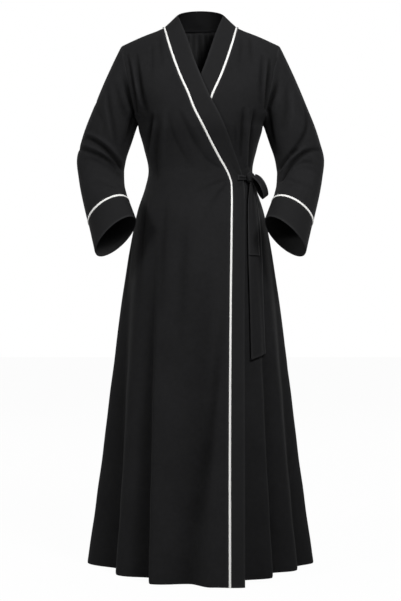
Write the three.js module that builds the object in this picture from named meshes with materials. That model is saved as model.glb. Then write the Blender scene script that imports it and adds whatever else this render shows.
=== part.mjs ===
// A floor-length wrap-front prayer dress as it hangs on a wearer, with nobody in it: every piece is a
// thin wall of cloth round an empty hollow. Millimetres, +Z up, -Y is the front, +X the wearer's left.
// The origin lies midway between the high points of the two shoulders, where the dress is held.
import * as THREE from "three";

const { clamp, degToRad, lerp, smoothstep } = THREE.MathUtils;

// Driving sizes
const HEM_Z = -1372; // the dress is 1372 long from the high shoulder point
const CLOTH = 1.8; // wall of a single panel
const DOUBLED = 2.4; // wall of the folded bands and cuffs
const RIBBON = 1.6; // wall of the tie
const SEAM_GAP = 0.15; // each piece stops this far short of a seam line
const NECK_SEAM_GAP = 0.4; // the back stops this far below the neck band, which stands up from it
const PIPING = 5.5; // width of the white piping that shows
const UNDERARM = { x: 161, z: -248 };
const SHOULDER_TIP = { x: 204, z: -47 };
const NECK_SIDE_X = 95; // the neck seam meets the shoulder seam here
const NECK_BACK_Z = 7; // the neck seam at the centre of the back
const SHOULDER_ROUNDING = 100; // front and back close over the shoulder in this height
const FRONT_RISE = 20; // how far the closing line rises inside the neck, at the front
const BACK_RISE = 60; // and at the back
const COLLAR_SIDE = { x: 59, y: 8, z: 36 }; // free edge of the neck band above the shoulder seam
const COLLAR_BACK = { y: 68, z: 60 }; // free edge of the neck band at the centre of the back
const OVERLAP_SINK = 4.5; // the under front lies this far inside the upper one
const FOLDS_SET_Z = -575; // fold lines keep their share of a panel's width above this height
const SKIRT_ROWS = 8;
const ARMHOLE_ROWS = 9;
const NECK_STEPS = 6; // steps of a band from the shoulder to the centre of the back
const CLOSE = 1; // two places this near count as the same one
const ANGLE_PASSES = 12; // passes that home in on the angle of a place with a given x
const ANGLE_DAMPING = 0.6;

// Plain sections of the body: half width, and depth in front of and behind the side seam
const BODY = [
  { z: -1372, halfWidth: 292, front: 268, back: 262 },
  { z: -1160, halfWidth: 261, front: 236, back: 230 },
  { z: -930, halfWidth: 233, front: 200, back: 196 },
  { z: -700, halfWidth: 204, front: 163, back: 168 },
  { z: -575, halfWidth: 184, front: 140, back: 155 },
  { z: -471, halfWidth: 162, front: 119, back: 135 },
  { z: -410, halfWidth: 142, front: 104, back: 112 },
  { z: -365, halfWidth: 133, front: 99, back: 100 },
  { z: -307, halfWidth: 145, front: 110, back: 101 },
  { z: -266, halfWidth: 157, front: 124, back: 107 },
  { z: -248, halfWidth: 161, front: 127, back: 108 },
  { z: -225, halfWidth: 180, front: 127, back: 108 },
  { z: -175, halfWidth: 208, front: 124, back: 106 },
  { z: -125, halfWidth: 220, front: 114, back: 104 },
  { z: -50, halfWidth: 226, front: 88, back: 98 },
  { z: 0, halfWidth: 230, front: 70, back: 88 },
];

// The front's seam with its band, the band's free edge, and the level of the same row at the side.
// Drawn for the wearer's right front, at -X, which laps over the other.
const FRONT_EDGE = [
  { seamZ: -1372, seamX: 66.3, edgeX: 105, edgeZ: -1372, sideZ: -1372 },
  { seamZ: -1056, seamX: 67.8, edgeX: 107, edgeZ: -1056, sideZ: -1056 },
  { seamZ: -698, seamX: 71.8, edgeX: 109, edgeZ: -698, sideZ: -698 },
  { seamZ: -500, seamX: 75.3, edgeX: 111.5, edgeZ: -500, sideZ: -500 },
  { seamZ: -430, seamX: 76.3, edgeX: 112, edgeZ: -426, sideZ: -430 },
  { seamZ: -403, seamX: 75, edgeX: 108.5, edgeZ: -391, sideZ: -400 },
  { seamZ: -379, seamX: 66.5, edgeX: 99, edgeZ: -361, sideZ: -372 },
  { seamZ: -340, seamX: 43.5, edgeX: 81, edgeZ: -315, sideZ: -344 },
  { seamZ: -302, seamX: 22.5, edgeX: 63, edgeZ: -270, sideZ: -318 },
  { seamZ: -264, seamX: 2.5, edgeX: 45, edgeZ: -231, sideZ: -294 },
  { seamZ: -225, seamX: -17.5, edgeX: 27, edgeZ: -198, sideZ: -270 },
  { seamZ: -184, seamX: -33.5, edgeX: 12, edgeZ: -166, sideZ: -248 },
  { seamZ: -141, seamX: -52.5, edgeX: -5, edgeZ: -124, sideZ: -200 },
  { seamZ: -97, seamX: -68.5, edgeX: -20, edgeZ: -82, sideZ: -152 },
  { seamZ: -51, seamX: -82.5, edgeX: -36, edgeZ: -30, sideZ: -103 },
  { seamZ: 0, seamX: -95, edgeX: -59, edgeZ: 36, sideZ: -47 },
];
// Where the free edge leaves the chest and stands up as the collar, its place from front to back
const COLLAR_EDGE = [
  { seamZ: -184, y: -122 },
  { seamZ: -141, y: -114 },
  { seamZ: -97, y: -100 },
  { seamZ: -51, y: -68 },
  { seamZ: -22, y: -32 },
  { seamZ: -6, y: -6 },
  { seamZ: 0, y: 8 },
];
const COLLAR_STANDS = { from: -150, to: -40 };
// Below the crossing the under front's edge is tucked this share less far across, from one depth
// below the shoulder to the other
const TUCK = { least: 0.62, from: 200, to: 400 };
const SINK_FADE = 0.9; // share of the way to the side over which the under front comes out again
const SINK_ENDS = { from: -130, to: -60 }; // heights between which it comes out above the crossing
const WAIST_SEAM_ROWS = [
  -535, -500, -465, -430, -403, -379, -360, -340, -321, -302, -283, -264, -245, -225, -184,
];

// Crests and valleys of the skirt. Each lies at an angle round the body, in degrees from the middle of
// the front: `top` at FOLDS_SET_Z and `hem` at the hem. `depth` is its push outwards at the hem, `from`
// the level where it starts, and `cuts` the number of columns to the next one.
const UPPER_FRONT_FOLDS = [
  { top: -90, hem: -90, depth: -2, from: -430, cuts: 3 },
  { top: -73, hem: -66, depth: -67, from: -460, cuts: 3 },
  { top: -54, hem: -49.6, depth: -26, from: -430, cuts: 3 },
  { top: -40, hem: -30.8, depth: -52, from: -480, cuts: 2 },
  { top: -31, hem: -22.8, depth: 10, from: -450, cuts: 3 },
  { top: 8, hem: -5.5, depth: -12, from: -620, cuts: 2 },
  { top: 16, hem: 4.9, depth: 26, from: -560, cuts: 2 },
  { top: 37, hem: 18.2, depth: 41, from: -520, cuts: 2 },
];
// Drawn as if it were at -X too, and mirrored when it is made
const UNDER_FRONT_FOLDS = [
  { top: -90, hem: -90, depth: -2, from: -430, cuts: 2 },
  { top: -77, hem: -75.9, depth: -42, from: -430, cuts: 2 },
  { top: -64, hem: -66, depth: -29, from: -430, cuts: 3 },
  { top: -54, hem: -50, depth: -62, from: -460, cuts: 2 },
  { top: -45, hem: -39.2, depth: -19, from: -430, cuts: 2 },
  { top: -36, hem: -24.6, depth: -29, from: -420, cuts: 2 },
  { top: -10, hem: -6, depth: -34, from: -420, cuts: 2 },
  { top: 60, hem: 60, depth: -33, from: -420, cuts: 2 },
];
const BACK_FOLDS = [
  { top: 90, hem: 90, depth: -2, from: -430, cuts: 2 },
  { top: 103, hem: 103, depth: -46, from: -450, cuts: 2 },
  { top: 117, hem: 119, depth: -8, from: -430, cuts: 3 },
  { top: 133, hem: 136, depth: -52, from: -480, cuts: 2 },
  { top: 149, hem: 151, depth: -4, from: -440, cuts: 3 },
  { top: 165, hem: 167, depth: -42, from: -520, cuts: 3 },
  { top: 181, hem: 183, depth: -10, from: -460, cuts: 3 },
  { top: 196, hem: 198, depth: -54, from: -490, cuts: 3 },
  { top: 211, hem: 212, depth: -6, from: -440, cuts: 2 },
  { top: 226, hem: 227, depth: -44, from: -470, cuts: 3 },
  { top: 241, hem: 242, depth: -12, from: -430, cuts: 2 },
  { top: 256, hem: 256, depth: -56, from: -460, cuts: 2 },
  { top: 270, hem: 270, depth: -2, from: -430, cuts: 1 },
];
const FOLD_GROWTH = 1.2;

// Rings of the sleeve at -X: centre, the half axis from it to the outer arm, and the one to the front.
// Ring 0 lies in the armhole, ring 8 is the cuff seam and ring 9 the open end of the cuff.
const SLEEVE = [
  { ring: 0, x: -182.5, y: -4.5, z: -147.5, outX: -21.5, outZ: 100.5, foreX: 0, foreY: -61.5, foreZ: 0 },
  { ring: 1, x: -204, y: -4, z: -192, outX: -40.5, outZ: 61, foreX: 0, foreY: -58, foreZ: 0 },
  { ring: 2, x: -221, y: -3, z: -234, outX: -54.5, outZ: 28, foreX: 0, foreY: -55, foreZ: 0 },
  { ring: 3, x: -236, y: -2, z: -275, outX: -58, outZ: 22, foreX: 0, foreY: -53, foreZ: 0 },
  { ring: 4, x: -248, y: -2, z: -312, outX: -58.5, outZ: 20, foreX: 0, foreY: -51, foreZ: 0 },
  { ring: 5, x: -256, y: -6, z: -352, outX: -61, outZ: 14, foreX: 0, foreY: -50, foreZ: 4 },
  { ring: 6, x: -252, y: -22, z: -396, outX: -58, outZ: 6, foreX: -2, foreY: -46, foreZ: 14 },
  { ring: 7, x: -243, y: -50, z: -436, outX: -55, outZ: -10, foreX: -4, foreY: -41, foreZ: 22 },
  { ring: 8, x: -231, y: -85, z: -476, outX: -51, outZ: -29, foreX: -6, foreY: -36, foreZ: 28 },
  { ring: 9, x: -209, y: -130, z: -541, outX: -51, outZ: -42, foreX: -7, foreY: -36, foreZ: 26 },
];
const CUFF_SEAM_RING = 8;
const CUFF_END_RING = 9;
const SLEEVE_RINGS = [0, 0.5, 1, 1.5, 2, 3, 4, 4.5, 5, 5.5, 6, 6.5, 7, 7.5, 8];
const ARMHOLE_FADE = { ring: 2, power: 2 }; // how fast the armhole's outline eases into a plain ring

// The tie at the wearer's left waist
const KNOT = {
  x: 118,
  z: -388,
  lift: 10,
  halfWidth: 11,
  halfDepth: 8,
  halfHeight: 13,
  sides: 12,
  rings: 8,
};
const STRAP = { from: 92, to: 113.2, top: -383, bottom: -397, lift: 3, steps: 4 };
const TAIL_STEP = 45; // height of one row of a tail, the lowest rows being a little higher
const TAIL_CROWDING = 0.85;
const SLANT_REACH = 4; // a slanted end evens out in this many times its slant
const LONG_TAIL = {
  lift: 5.2,
  topLift: 9,
  settle: 60,
  slant: 14, // the left corner of its cut end hangs this much lower than the right one
  rows: [
    { z: -845, left: 125, right: 162 },
    { z: -700, left: 122, right: 157 },
    { z: -586, left: 119, right: 154 },
    { z: -500, left: 119, right: 148 },
    { z: -440, left: 120, right: 139 },
    { z: -401, left: 120, right: 130 },
  ],
};
const SHORT_TAIL = {
  lift: 8.6,
  topLift: 12.5,
  settle: 60,
  slant: 0,
  rows: [
    { z: -586, left: 119, right: 145 },
    { z: -500, left: 118, right: 140 },
    { z: -440, left: 117, right: 134 },
    { z: -401, left: 117, right: 127 },
  ],
};
const LOOP = {
  length: 41,
  rootReach: 11, // how far from the middle of the knot the drop shape starts
  rootRise: 8, // and how far above it
  opening: 11.5, // half the gap between its two plies
  rootWidth: 15,
  tipWidth: 21,
  widens: { from: 0.05, to: 0.5 }, // shares of the length between which it reaches the tip's width
  droop: 18, // how far its own weight pulls the tip down
  sharpness: 0.35, // 0 is an oval, 1 a drop with a sharp root
  steps: 16,
  rootAngle: 38, // degrees round the loop where each ply leaves the knot
  along: new THREE.Vector3(0.8, -0.16, -0.58), // from the knot, before it droops
  across: new THREE.Vector3(0.52, 0.72, 0.46), // over the ribbon's width
};

const CLOTH_LOOK = { color: 0x1b1b1d, roughness: 0.95, metalness: 0 };
const BAND_LOOK = { color: 0x232326, roughness: 0.92, metalness: 0 };
const PIPING_LOOK = { color: 0xf3f1ec, roughness: 0.7, metalness: 0 };

// A smooth curve through one column of a table whose rows rise in the column `by`
function curve(rows, by, column) {
  const places = rows.map((row) => row[by]);
  const values = rows.map((row) => row[column]);
  const fit = new THREE.CubicInterpolant(places, values, 1, new Float64Array(1));
  return (place) => fit.evaluate(clamp(place, places[0], places.at(-1)))[0];
}

const halfWidth = curve(BODY, "z", "halfWidth");
const frontDepth = curve(BODY, "z", "front");
const backDepth = curve(BODY, "z", "back");
const seamX = curve(FRONT_EDGE, "seamZ", "seamX");
const edgeX = curve(FRONT_EDGE, "seamZ", "edgeX");
const edgeZ = curve(FRONT_EDGE, "seamZ", "edgeZ");
const sideZ = curve(FRONT_EDGE, "seamZ", "sideZ");
const edgeXAtLevel = curve(FRONT_EDGE, "edgeZ", "edgeX");
const collarEdgeY = curve(COLLAR_EDGE, "seamZ", "y");

// How far front and back have parted at a place below the shoulder line: a quarter circle, 0 to 1
function parting(x, z, atBack) {
  const beyondNeck = Math.abs(x) - NECK_SIDE_X;
  const rise = (atBack ? BACK_RISE : FRONT_RISE) * (1 - (x / NECK_SIDE_X) ** 2);
  const closingZ = beyondNeck > 0 ? shoulderZ(x) : rise;
  const down = clamp((closingZ - z) / SHOULDER_ROUNDING, 0, 1);
  return Math.sqrt(1 - (1 - down) ** 2);
}

function shoulderZ(x) {
  return (SHOULDER_TIP.z * (Math.abs(x) - NECK_SIDE_X)) / (SHOULDER_TIP.x - NECK_SIDE_X);
}

function foldAngles(folds, z) {
  const down = clamp((FOLDS_SET_Z - z) / (FOLDS_SET_Z - HEM_Z), 0, 1);
  return folds.map((fold) => lerp(fold.top, fold.hem, down));
}

// The push outwards at an angle: half a cosine wave between each crest and the valley beside it
function foldPush(folds, angle, z) {
  const angles = foldAngles(folds, z);
  const passed = angles.filter((a) => a <= angle).length;
  const next = clamp(passed, 1, folds.length - 1);
  const share = clamp((angle - angles[next - 1]) / (angles[next] - angles[next - 1]), 0, 1);
  const [before, after] = [folds[next - 1], folds[next]].map(
    (fold) => fold.depth * clamp((fold.from - z) / (fold.from - HEM_Z), 0, 1) ** FOLD_GROWTH,
  );
  return lerp(before, after, (1 - Math.cos(Math.PI * share)) / 2);
}

const UPPER_FRONT = { folds: UPPER_FRONT_FOLDS, sink: () => 0 };
const UNDER_FRONT = { folds: UNDER_FRONT_FOLDS, sink: underSink };
const BACK = { folds: BACK_FOLDS, sink: () => 0 };

// The under front sinks inside the band's free edge and comes out again before its side seam, and
// above the place where the two fronts cross
function underSink(x, z) {
  const edge = edgeXAtLevel(z);
  const away = smoothstep(-x, edge, edge + SINK_FADE * (halfWidth(z) - edge));
  const above = smoothstep(z, SINK_ENDS.from, SINK_ENDS.to);
  return OVERLAP_SINK * (1 - away) * (1 - above);
}

// A point of a layer at an angle, in degrees from the middle of the front, and a level
function atAngle(layer, angle, z) {
  const turn = degToRad(angle);
  const atBack = Math.cos(turn) < 0;
  const x = halfWidth(z) * Math.sin(turn);
  const depth = atBack ? backDepth(z) : frontDepth(z);
  const y = -depth * Math.cos(turn) * parting(x, z, atBack);
  const outwards = new THREE.Vector3(x, y, 0).normalize();
  const push = foldPush(layer.folds, angle, z) - layer.sink(x, z);
  return new THREE.Vector3(x, y, z).addScaledVector(outwards, push);
}

// The angle of the place on a front that has a given x
function angleAtX(layer, x, z) {
  let bareX = x;
  for (let pass = 0; pass < ANGLE_PASSES; pass++) {
    const angle = bareAngle(bareX, z);
    bareX += ANGLE_DAMPING * (x - atAngle(layer, angle, z).x);
  }
  return bareAngle(bareX, z);
}

function bareAngle(x, z) {
  return THREE.MathUtils.radToDeg(Math.asin(clamp(x / halfWidth(z), -1, 1)));
}

function onFront(layer, x, z) {
  return atAngle(layer, angleAtX(layer, x, z), z);
}

function onBack(x, z) {
  return atAngle(BACK, 180 - bareAngle(x, z), z);
}

// Unit normals of a grid of points, on the side of (next column) x (next row)
function gridNormals(grid) {
  const last = (list) => list.length - 1;
  return grid.map((row, i) =>
    row.map((_, j) => {
      const along = new THREE.Vector3().subVectors(
        row[Math.min(j + 1, last(row))],
        row[Math.max(j - 1, 0)],
      );
      const up = new THREE.Vector3().subVectors(
        grid[Math.min(i + 1, last(grid))][j],
        grid[Math.max(i - 1, 0)][j],
      );
      return along.cross(up).normalize();
    }),
  );
}

// The cloth's other face: a wall's thickness in from each point, against its normal
function movedIn(grid, normals, wall) {
  return grid.map((row, i) => row.map((p, j) => p.clone().addScaledVector(normals[i][j], -wall)));
}

function mapGrid(grid, change) {
  return grid.map((row, i) => row.map((p, j) => change(p.clone(), i, j)));
}

function mirrorX(p) {
  return new THREE.Vector3(-p.x, p.y, p.z);
}

// A closed body from the cloth's two faces, which are matching grids, and the rim between them.
// In a ring the last column joins the first.
function clothBody(outer, inner, ring = false) {
  const rows = outer.length;
  const columns = outer[0].length;
  const across = ring ? columns : columns - 1;
  const at = (face, i, j) => face * rows * columns + i * columns + (j % columns);
  const faces = [];
  const quad = (a, b, c, d) => faces.push(a, b, c, a, c, d);
  for (let j = 0; j < across; j++) {
    for (let i = 0; i < rows - 1; i++) {
      quad(at(0, i, j), at(0, i, j + 1), at(0, i + 1, j + 1), at(0, i + 1, j));
      quad(at(1, i, j), at(1, i + 1, j), at(1, i + 1, j + 1), at(1, i, j + 1));
    }
    quad(at(1, 0, j), at(1, 0, j + 1), at(0, 0, j + 1), at(0, 0, j));
    quad(at(0, rows - 1, j), at(0, rows - 1, j + 1), at(1, rows - 1, j + 1), at(1, rows - 1, j));
  }
  if (!ring) {
    const end = columns - 1;
    for (let i = 0; i < rows - 1; i++) {
      quad(at(0, i, 0), at(0, i + 1, 0), at(1, i + 1, 0), at(1, i, 0));
      quad(at(1, i, end), at(1, i + 1, end), at(0, i + 1, end), at(0, i, end));
    }
  }
  return facingOut([...outer.flat(), ...inner.flat()], faces);
}

// Turns every triangle round where the volume that they enclose comes out negative
function facingOut(points, faces) {
  let volume = 0;
  const product = new THREE.Vector3();
  for (let k = 0; k < faces.length; k += 3) {
    volume += points[faces[k]].dot(product.crossVectors(points[faces[k + 1]], points[faces[k + 2]]));
  }
  const index = volume < 0 ? faces.slice().reverse() : faces;
  const geometry = new THREE.BufferGeometry().setFromPoints(points).setIndex(index);
  geometry.computeVertexNormals();
  return geometry;
}

// Rows of a front from hem to shoulder. `up` goes from 0 at the underarm to 1 at the shoulder.
function frontRows() {
  const rows = [];
  for (let i = 0; i <= SKIRT_ROWS; i++) {
    rows.push({ seamZ: lerp(HEM_Z, FOLDS_SET_Z, i / SKIRT_ROWS), up: 0 });
  }
  for (const seamZ of WAIST_SEAM_ROWS) rows.push({ seamZ, up: 0 });
  const underarmSeamZ = WAIST_SEAM_ROWS.at(-1);
  for (let i = 1; i <= ARMHOLE_ROWS; i++) {
    const up = (1 - Math.cos((Math.PI * i) / ARMHOLE_ROWS)) / 2;
    rows.push({ seamZ: lerp(underarmSeamZ, 0, up), up });
  }
  return rows.map((row) => ({ ...row, sideZ: levelAtSide(row) }));
}

function levelAtSide(row) {
  return row.up > 0 ? lerp(UNDERARM.z, SHOULDER_TIP.z, row.up) : sideZ(row.seamZ);
}

const ROWS = frontRows();
const UNDERARM_ROW = ROWS.findIndex((row) => row.up > 0) - 1;

// The under front's edge is tucked less far across than the upper one's below the crossing
function tuck(z) {
  return lerp(1, TUCK.least, smoothstep(-z, TUCK.from, TUCK.to));
}

const PLAIN_TUCK = () => 1;

// Points across a front's piping and band at each row, from the panel's edge to the free edge:
// the panel's edge, the far side of the piping, the middle of the band and its free edge
function frontStrip(layer, tucking) {
  return ROWS.map(({ seamZ }) => {
    const share = seamX(seamZ) > 0 ? tucking(seamZ) : 1;
    const start = { x: seamX(seamZ) * share, z: seamZ };
    const bandWidth = edgeX(seamZ) - seamX(seamZ);
    const end = { x: start.x + bandWidth, z: edgeZ(seamZ) };
    const standing = smoothstep(seamZ, COLLAR_STANDS.from, COLLAR_STANDS.to);
    const seam = onFront(layer, start.x, start.z);
    const edge = onFront(layer, end.x, end.z);
    edge.y = lerp(edge.y, collarEdgeY(seamZ), standing);
    return bandShares(seam, edge).map((s) => {
      const onCloth = onFront(layer, lerp(start.x, end.x, s), lerp(start.z, end.z, s));
      return onCloth.lerp(seam.clone().lerp(edge, s), standing);
    });
  });
}

// The same points on round the back of the neck, as far as its centre
function neckStrip() {
  const strip = [];
  for (let i = 1; i <= NECK_STEPS; i++) {
    const turn = ((Math.PI / 2) * i) / NECK_STEPS;
    const [cos, sin] = [Math.cos(turn), Math.sin(turn)];
    const seam = neckSeamPoint(turn);
    const edge = new THREE.Vector3(
      -COLLAR_SIDE.x * cos,
      lerp(COLLAR_SIDE.y, COLLAR_BACK.y, sin),
      lerp(COLLAR_SIDE.z, COLLAR_BACK.z, sin),
    );
    strip.push(bandShares(seam, edge).map((s) => seam.clone().lerp(edge, s)));
  }
  return strip;
}

function neckSeamPoint(turn) {
  return onBack(-NECK_SIDE_X * Math.cos(turn), NECK_BACK_Z * Math.sin(turn));
}

// The shares of the way from seam to free edge where the columns of a strip lie
function bandShares(seam, edge) {
  const piped = PIPING / seam.distanceTo(edge);
  return [0, piped, (1 + piped) / 2, 1];
}

function columnShares(layer, z) {
  const level = Math.min(z, FOLDS_SET_Z);
  const angles = foldAngles(layer.folds, level);
  if (layer !== BACK) {
    const share = layer === UNDER_FRONT ? tuck(level) : 1;
    angles[angles.length - 1] = angleAtX(layer, seamX(level) * share, level);
  }
  const start = angles[0];
  const span = angles.at(-1) - start;
  const shares = [];
  for (let k = 0; k < angles.length - 1; k++) {
    const { cuts } = layer.folds[k];
    for (let c = 0; c < cuts; c++) {
      shares.push((lerp(angles[k], angles[k + 1], c / cuts) - start) / span);
    }
  }
  return [...shares, 1];
}

// A front panel's points. Below the underarm its columns follow the folds; above it they fan out so
// that the top row lies along the shoulder seam. Its last column is the seam with the band.
function frontPanelPoints(layer, strip) {
  const lowRows = ROWS.slice(0, UNDERARM_ROW + 1).map((row, i) => {
    const seam = strip[i][0];
    const shares = columnShares(layer, row.seamZ);
    const seamAngle = angleAtX(layer, seam.x, seam.z);
    return shares.map((s) => {
      if (s === 1) return seam.clone();
      return atAngle(layer, lerp(-90, seamAngle, s), lerp(row.sideZ, row.seamZ, s));
    });
  });
  const startRow = lowRows[UNDERARM_ROW];
  const spanX = startRow.at(-1).x - startRow[0].x;
  const spanZ = startRow.at(-1).z - startRow[0].z;
  const highRows = ROWS.slice(UNDERARM_ROW + 1).map((row, i) => {
    const seam = strip[UNDERARM_ROW + 1 + i][0];
    const armholeX = lerp(-UNDERARM.x, -SHOULDER_TIP.x, row.up);
    return startRow.map((p, j) => {
      const even = j / (startRow.length - 1);
      const shareX = lerp((p.x - startRow[0].x) / spanX, even, row.up);
      const shareZ = lerp((p.z - startRow[0].z) / spanZ, even, row.up);
      if (j === startRow.length - 1) return seam.clone();
      return onFront(layer, lerp(armholeX, seam.x, shareX), lerp(row.sideZ, seam.z, shareZ));
    });
  });
  return [...lowRows, ...highRows];
}

// The back's points, from the side seam at +X round to the one at -X. Its top row follows the
// shoulder seams and, between them, the neck seam.
function backPanelPoints() {
  const lowRows = ROWS.slice(0, UNDERARM_ROW + 1).map((row) =>
    columnShares(BACK, row.sideZ).map((s) => atAngle(BACK, lerp(90, 270, s), row.sideZ)),
  );
  const startRow = lowRows[UNDERARM_ROW];
  const neckStart = (startRow.length - 1) / 2 - NECK_STEPS;
  const topRow = startRow.map((_, j) => {
    const fromEnd = Math.min(j, startRow.length - 1 - j);
    const side = j < neckStart + NECK_STEPS ? 1 : -1;
    if (fromEnd < neckStart) {
      const x = lerp(SHOULDER_TIP.x, NECK_SIDE_X, fromEnd / neckStart);
      return new THREE.Vector3(side * x, 0, shoulderZ(x));
    }
    const seam = neckSeamPoint(((Math.PI / 2) * (fromEnd - neckStart)) / NECK_STEPS);
    return side > 0 ? mirrorX(seam) : seam;
  });
  const highRows = ROWS.slice(UNDERARM_ROW + 1).map((row) => {
    if (row.up === 1) return topRow;
    const shoulderShare = (row.sideZ - UNDERARM.z) / (SHOULDER_TIP.z - UNDERARM.z);
    return startRow.map((p, j) => {
      const x = lerp(p.x, topRow[j].x, shoulderShare);
      return onBack(x, lerp(p.z, topRow[j].z, shoulderShare));
    });
  });
  return [...lowRows, ...highRows];
}

// The plane of the armhole at -X, facing away from the body
const ARMHOLE_NORMAL = new THREE.Vector3(
  UNDERARM.z - SHOULDER_TIP.z,
  0,
  UNDERARM.x - SHOULDER_TIP.x,
).normalize();
const ARMHOLE_PLANE = new THREE.Plane().setFromNormalAndCoplanarPoint(
  ARMHOLE_NORMAL,
  new THREE.Vector3(-UNDERARM.x, 0, UNDERARM.z),
);

// Keeps a panel's point on its own side of the armhole planes, above the underarm
function insideArmholes(p) {
  if (p.z < UNDERARM.z - CLOSE) return p;
  const flipped = p.x > 0 ? mirrorX(p) : p.clone();
  const over = ARMHOLE_PLANE.distanceToPoint(flipped) + SEAM_GAP;
  if (over > 0) flipped.addScaledVector(ARMHOLE_NORMAL, -over);
  return p.x > 0 ? mirrorX(flipped) : flipped;
}

// Directions across a strip, from seam to free edge, at each row
function acrossStrip(strip) {
  return strip.map((row) => new THREE.Vector3().subVectors(row.at(-1), row[0]).normalize());
}

function frontPanel(layer, strip, stripNormals) {
  const points = frontPanelPoints(layer, strip);
  const normals = gridNormals(points);
  const across = acrossStrip(strip);
  const end = points[0].length - 1;
  normals.forEach((row, i) => (row[end] = stripNormals[i][0]));
  const settle = (p, i, j) => {
    if (j === end) p.addScaledVector(across[i], -SEAM_GAP);
    p.y = Math.min(p.y, -SEAM_GAP);
    return insideArmholes(p);
  };
  const outer = mapGrid(points, settle);
  const inner = mapGrid(movedIn(points, normals, CLOTH), settle);
  return [outer, inner];
}

function backPanel(neckNormals) {
  const points = backPanelPoints();
  const normals = gridNormals(points);
  const top = normals.at(-1);
  const middle = (top.length - 1) / 2;
  for (let step = 1; step <= NECK_STEPS; step++) {
    const normal = neckNormals[step - 1][0];
    top[middle - NECK_STEPS + step] = mirrorX(normal);
    top[middle + NECK_STEPS - step] = normal;
  }
  top[middle] = new THREE.Vector3(0, 1, 0);
  const topRow = points.length - 1;
  const settle = (p, i) => {
    const onNeck = i === topRow && Math.abs(p.x) < NECK_SIDE_X + CLOSE;
    if (onNeck) p.z -= NECK_SEAM_GAP;
    p.y = Math.max(p.y, SEAM_GAP);
    return insideArmholes(p);
  };
  return [mapGrid(points, settle), mapGrid(movedIn(points, normals, CLOTH), settle)];
}

// The columns from `first` to `last` of a strip as a piece of their own, short of the seams along
// them and, where `seamed` says so, of the seams at its two ends
function stripPiece(strip, normals, { first, last, wall, seamed }) {
  const across = acrossStrip(strip);
  const columns = strip.map((row) => row.slice(first, last + 1));
  const facing = normals.map((row) => row.slice(first, last + 1));
  const width = last - first;
  const freeEdge = last === strip[0].length - 1;
  const settle = (p, i, j) => {
    if (j === 0) p.addScaledVector(across[i], SEAM_GAP);
    if (j === width && !freeEdge) p.addScaledVector(across[i], -SEAM_GAP);
    return p;
  };
  const faces = [mapGrid(columns, settle), mapGrid(movedIn(columns, facing, wall), settle)];
  return faces.map((grid) => shortOfSeams(grid, seamed));
}

// Draws a grid's first and last rows back from the seams that they lie on
function shortOfSeams(grid, [atStart, atEnd]) {
  const end = grid.length - 1;
  const back = (p, next) => p.clone().addScaledVector(next.clone().sub(p).normalize(), SEAM_GAP);
  return grid.map((row, i) => {
    if (i === 0 && atStart) return row.map((p, j) => back(p, grid[1][j]));
    if (i === end && atEnd) return row.map((p, j) => back(p, grid[end - 1][j]));
    return row;
  });
}

// The band's middle part, in one piece from shoulder seam to shoulder seam round the back of the
// neck. Each end is the last row of a front's strip, with its normals, drawn at -X.
function neckBand(neck, rightEnd, leftEnd) {
  const otherWay = (half) => half.map((row) => row.map(mirrorX)).reverse();
  const strip = [rightEnd.points, ...neck, ...otherWay([leftEnd.points, ...neck.slice(0, -1)])];
  const normals = gridNormals(strip);
  normals[0] = rightEnd.normals;
  normals[normals.length - 1] = leftEnd.normals.map(mirrorX);
  const last = strip[0].length - 1;
  return stripPiece(strip, normals, { first: 1, last, wall: DOUBLED, seamed: [true, true] });
}

function sleeveColumn(name) {
  return curve(SLEEVE, "ring", name);
}

const sleeveCurves = Object.fromEntries(
  Object.keys(SLEEVE[0]).map((name) => [name, sleeveColumn(name)]),
);

function sleeveRing(ring) {
  const read = (name) => sleeveCurves[name](ring);
  return {
    centre: new THREE.Vector3(read("x"), read("y"), read("z")),
    out: new THREE.Vector3(read("outX"), 0, read("outZ")),
    fore: new THREE.Vector3(read("foreX"), read("foreY"), read("foreZ")),
  };
}

// Turns round a ring, from the outer arm over the front to the underarm and up the back
const RING_TURNS = Array.from({ length: 2 * ARMHOLE_ROWS }, (_, k) => (Math.PI * k) / ARMHOLE_ROWS);

function ringPoint({ centre, out, fore }, turn) {
  return centre.clone().addScaledVector(out, Math.cos(turn)).addScaledVector(fore, Math.sin(turn));
}

function ringNormal({ out, fore }, turn) {
  const normal = out.clone().multiplyScalar(Math.cos(turn) / out.lengthSq());
  return normal.addScaledVector(fore, Math.sin(turn) / fore.lengthSq()).normalize();
}

function ringAxis({ out, fore }) {
  const axis = new THREE.Vector3().crossVectors(out, fore).normalize();
  return axis.z > 0 ? axis.negate() : axis;
}

// The armhole's outline, read off the front and back panels at -X
function armholePoints(front, back) {
  const frontSide = front.slice(UNDERARM_ROW).map((row) => row[0]);
  const backSide = back.slice(UNDERARM_ROW).map((row) => row.at(-1));
  const fromTop = frontSide.slice().reverse();
  return [...fromTop, ...backSide.slice(1, -1)];
}

function sleeve(armhole) {
  const start = sleeveRing(0);
  const strays = RING_TURNS.map((turn, k) => armhole[k].clone().sub(ringPoint(start, turn)));
  const outer = [];
  const inner = [];
  for (const place of SLEEVE_RINGS) {
    const ring = sleeveRing(place);
    const own = Math.max(0, 1 - place / ARMHOLE_FADE.ring) ** ARMHOLE_FADE.power;
    const axis = place === 0 ? ARMHOLE_NORMAL : ringAxis(ring);
    const shift = place === 0 ? SEAM_GAP : place === CUFF_SEAM_RING ? -SEAM_GAP : 0;
    const row = RING_TURNS.map((turn, k) =>
      ringPoint(ring, turn).addScaledVector(strays[k], own).addScaledVector(axis, shift),
    );
    outer.push(row);
    inner.push(
      row.map((p, k) => p.clone().addScaledVector(ringNormal(ring, RING_TURNS[k]), -CLOTH)),
    );
  }
  return [outer, inner];
}

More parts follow.
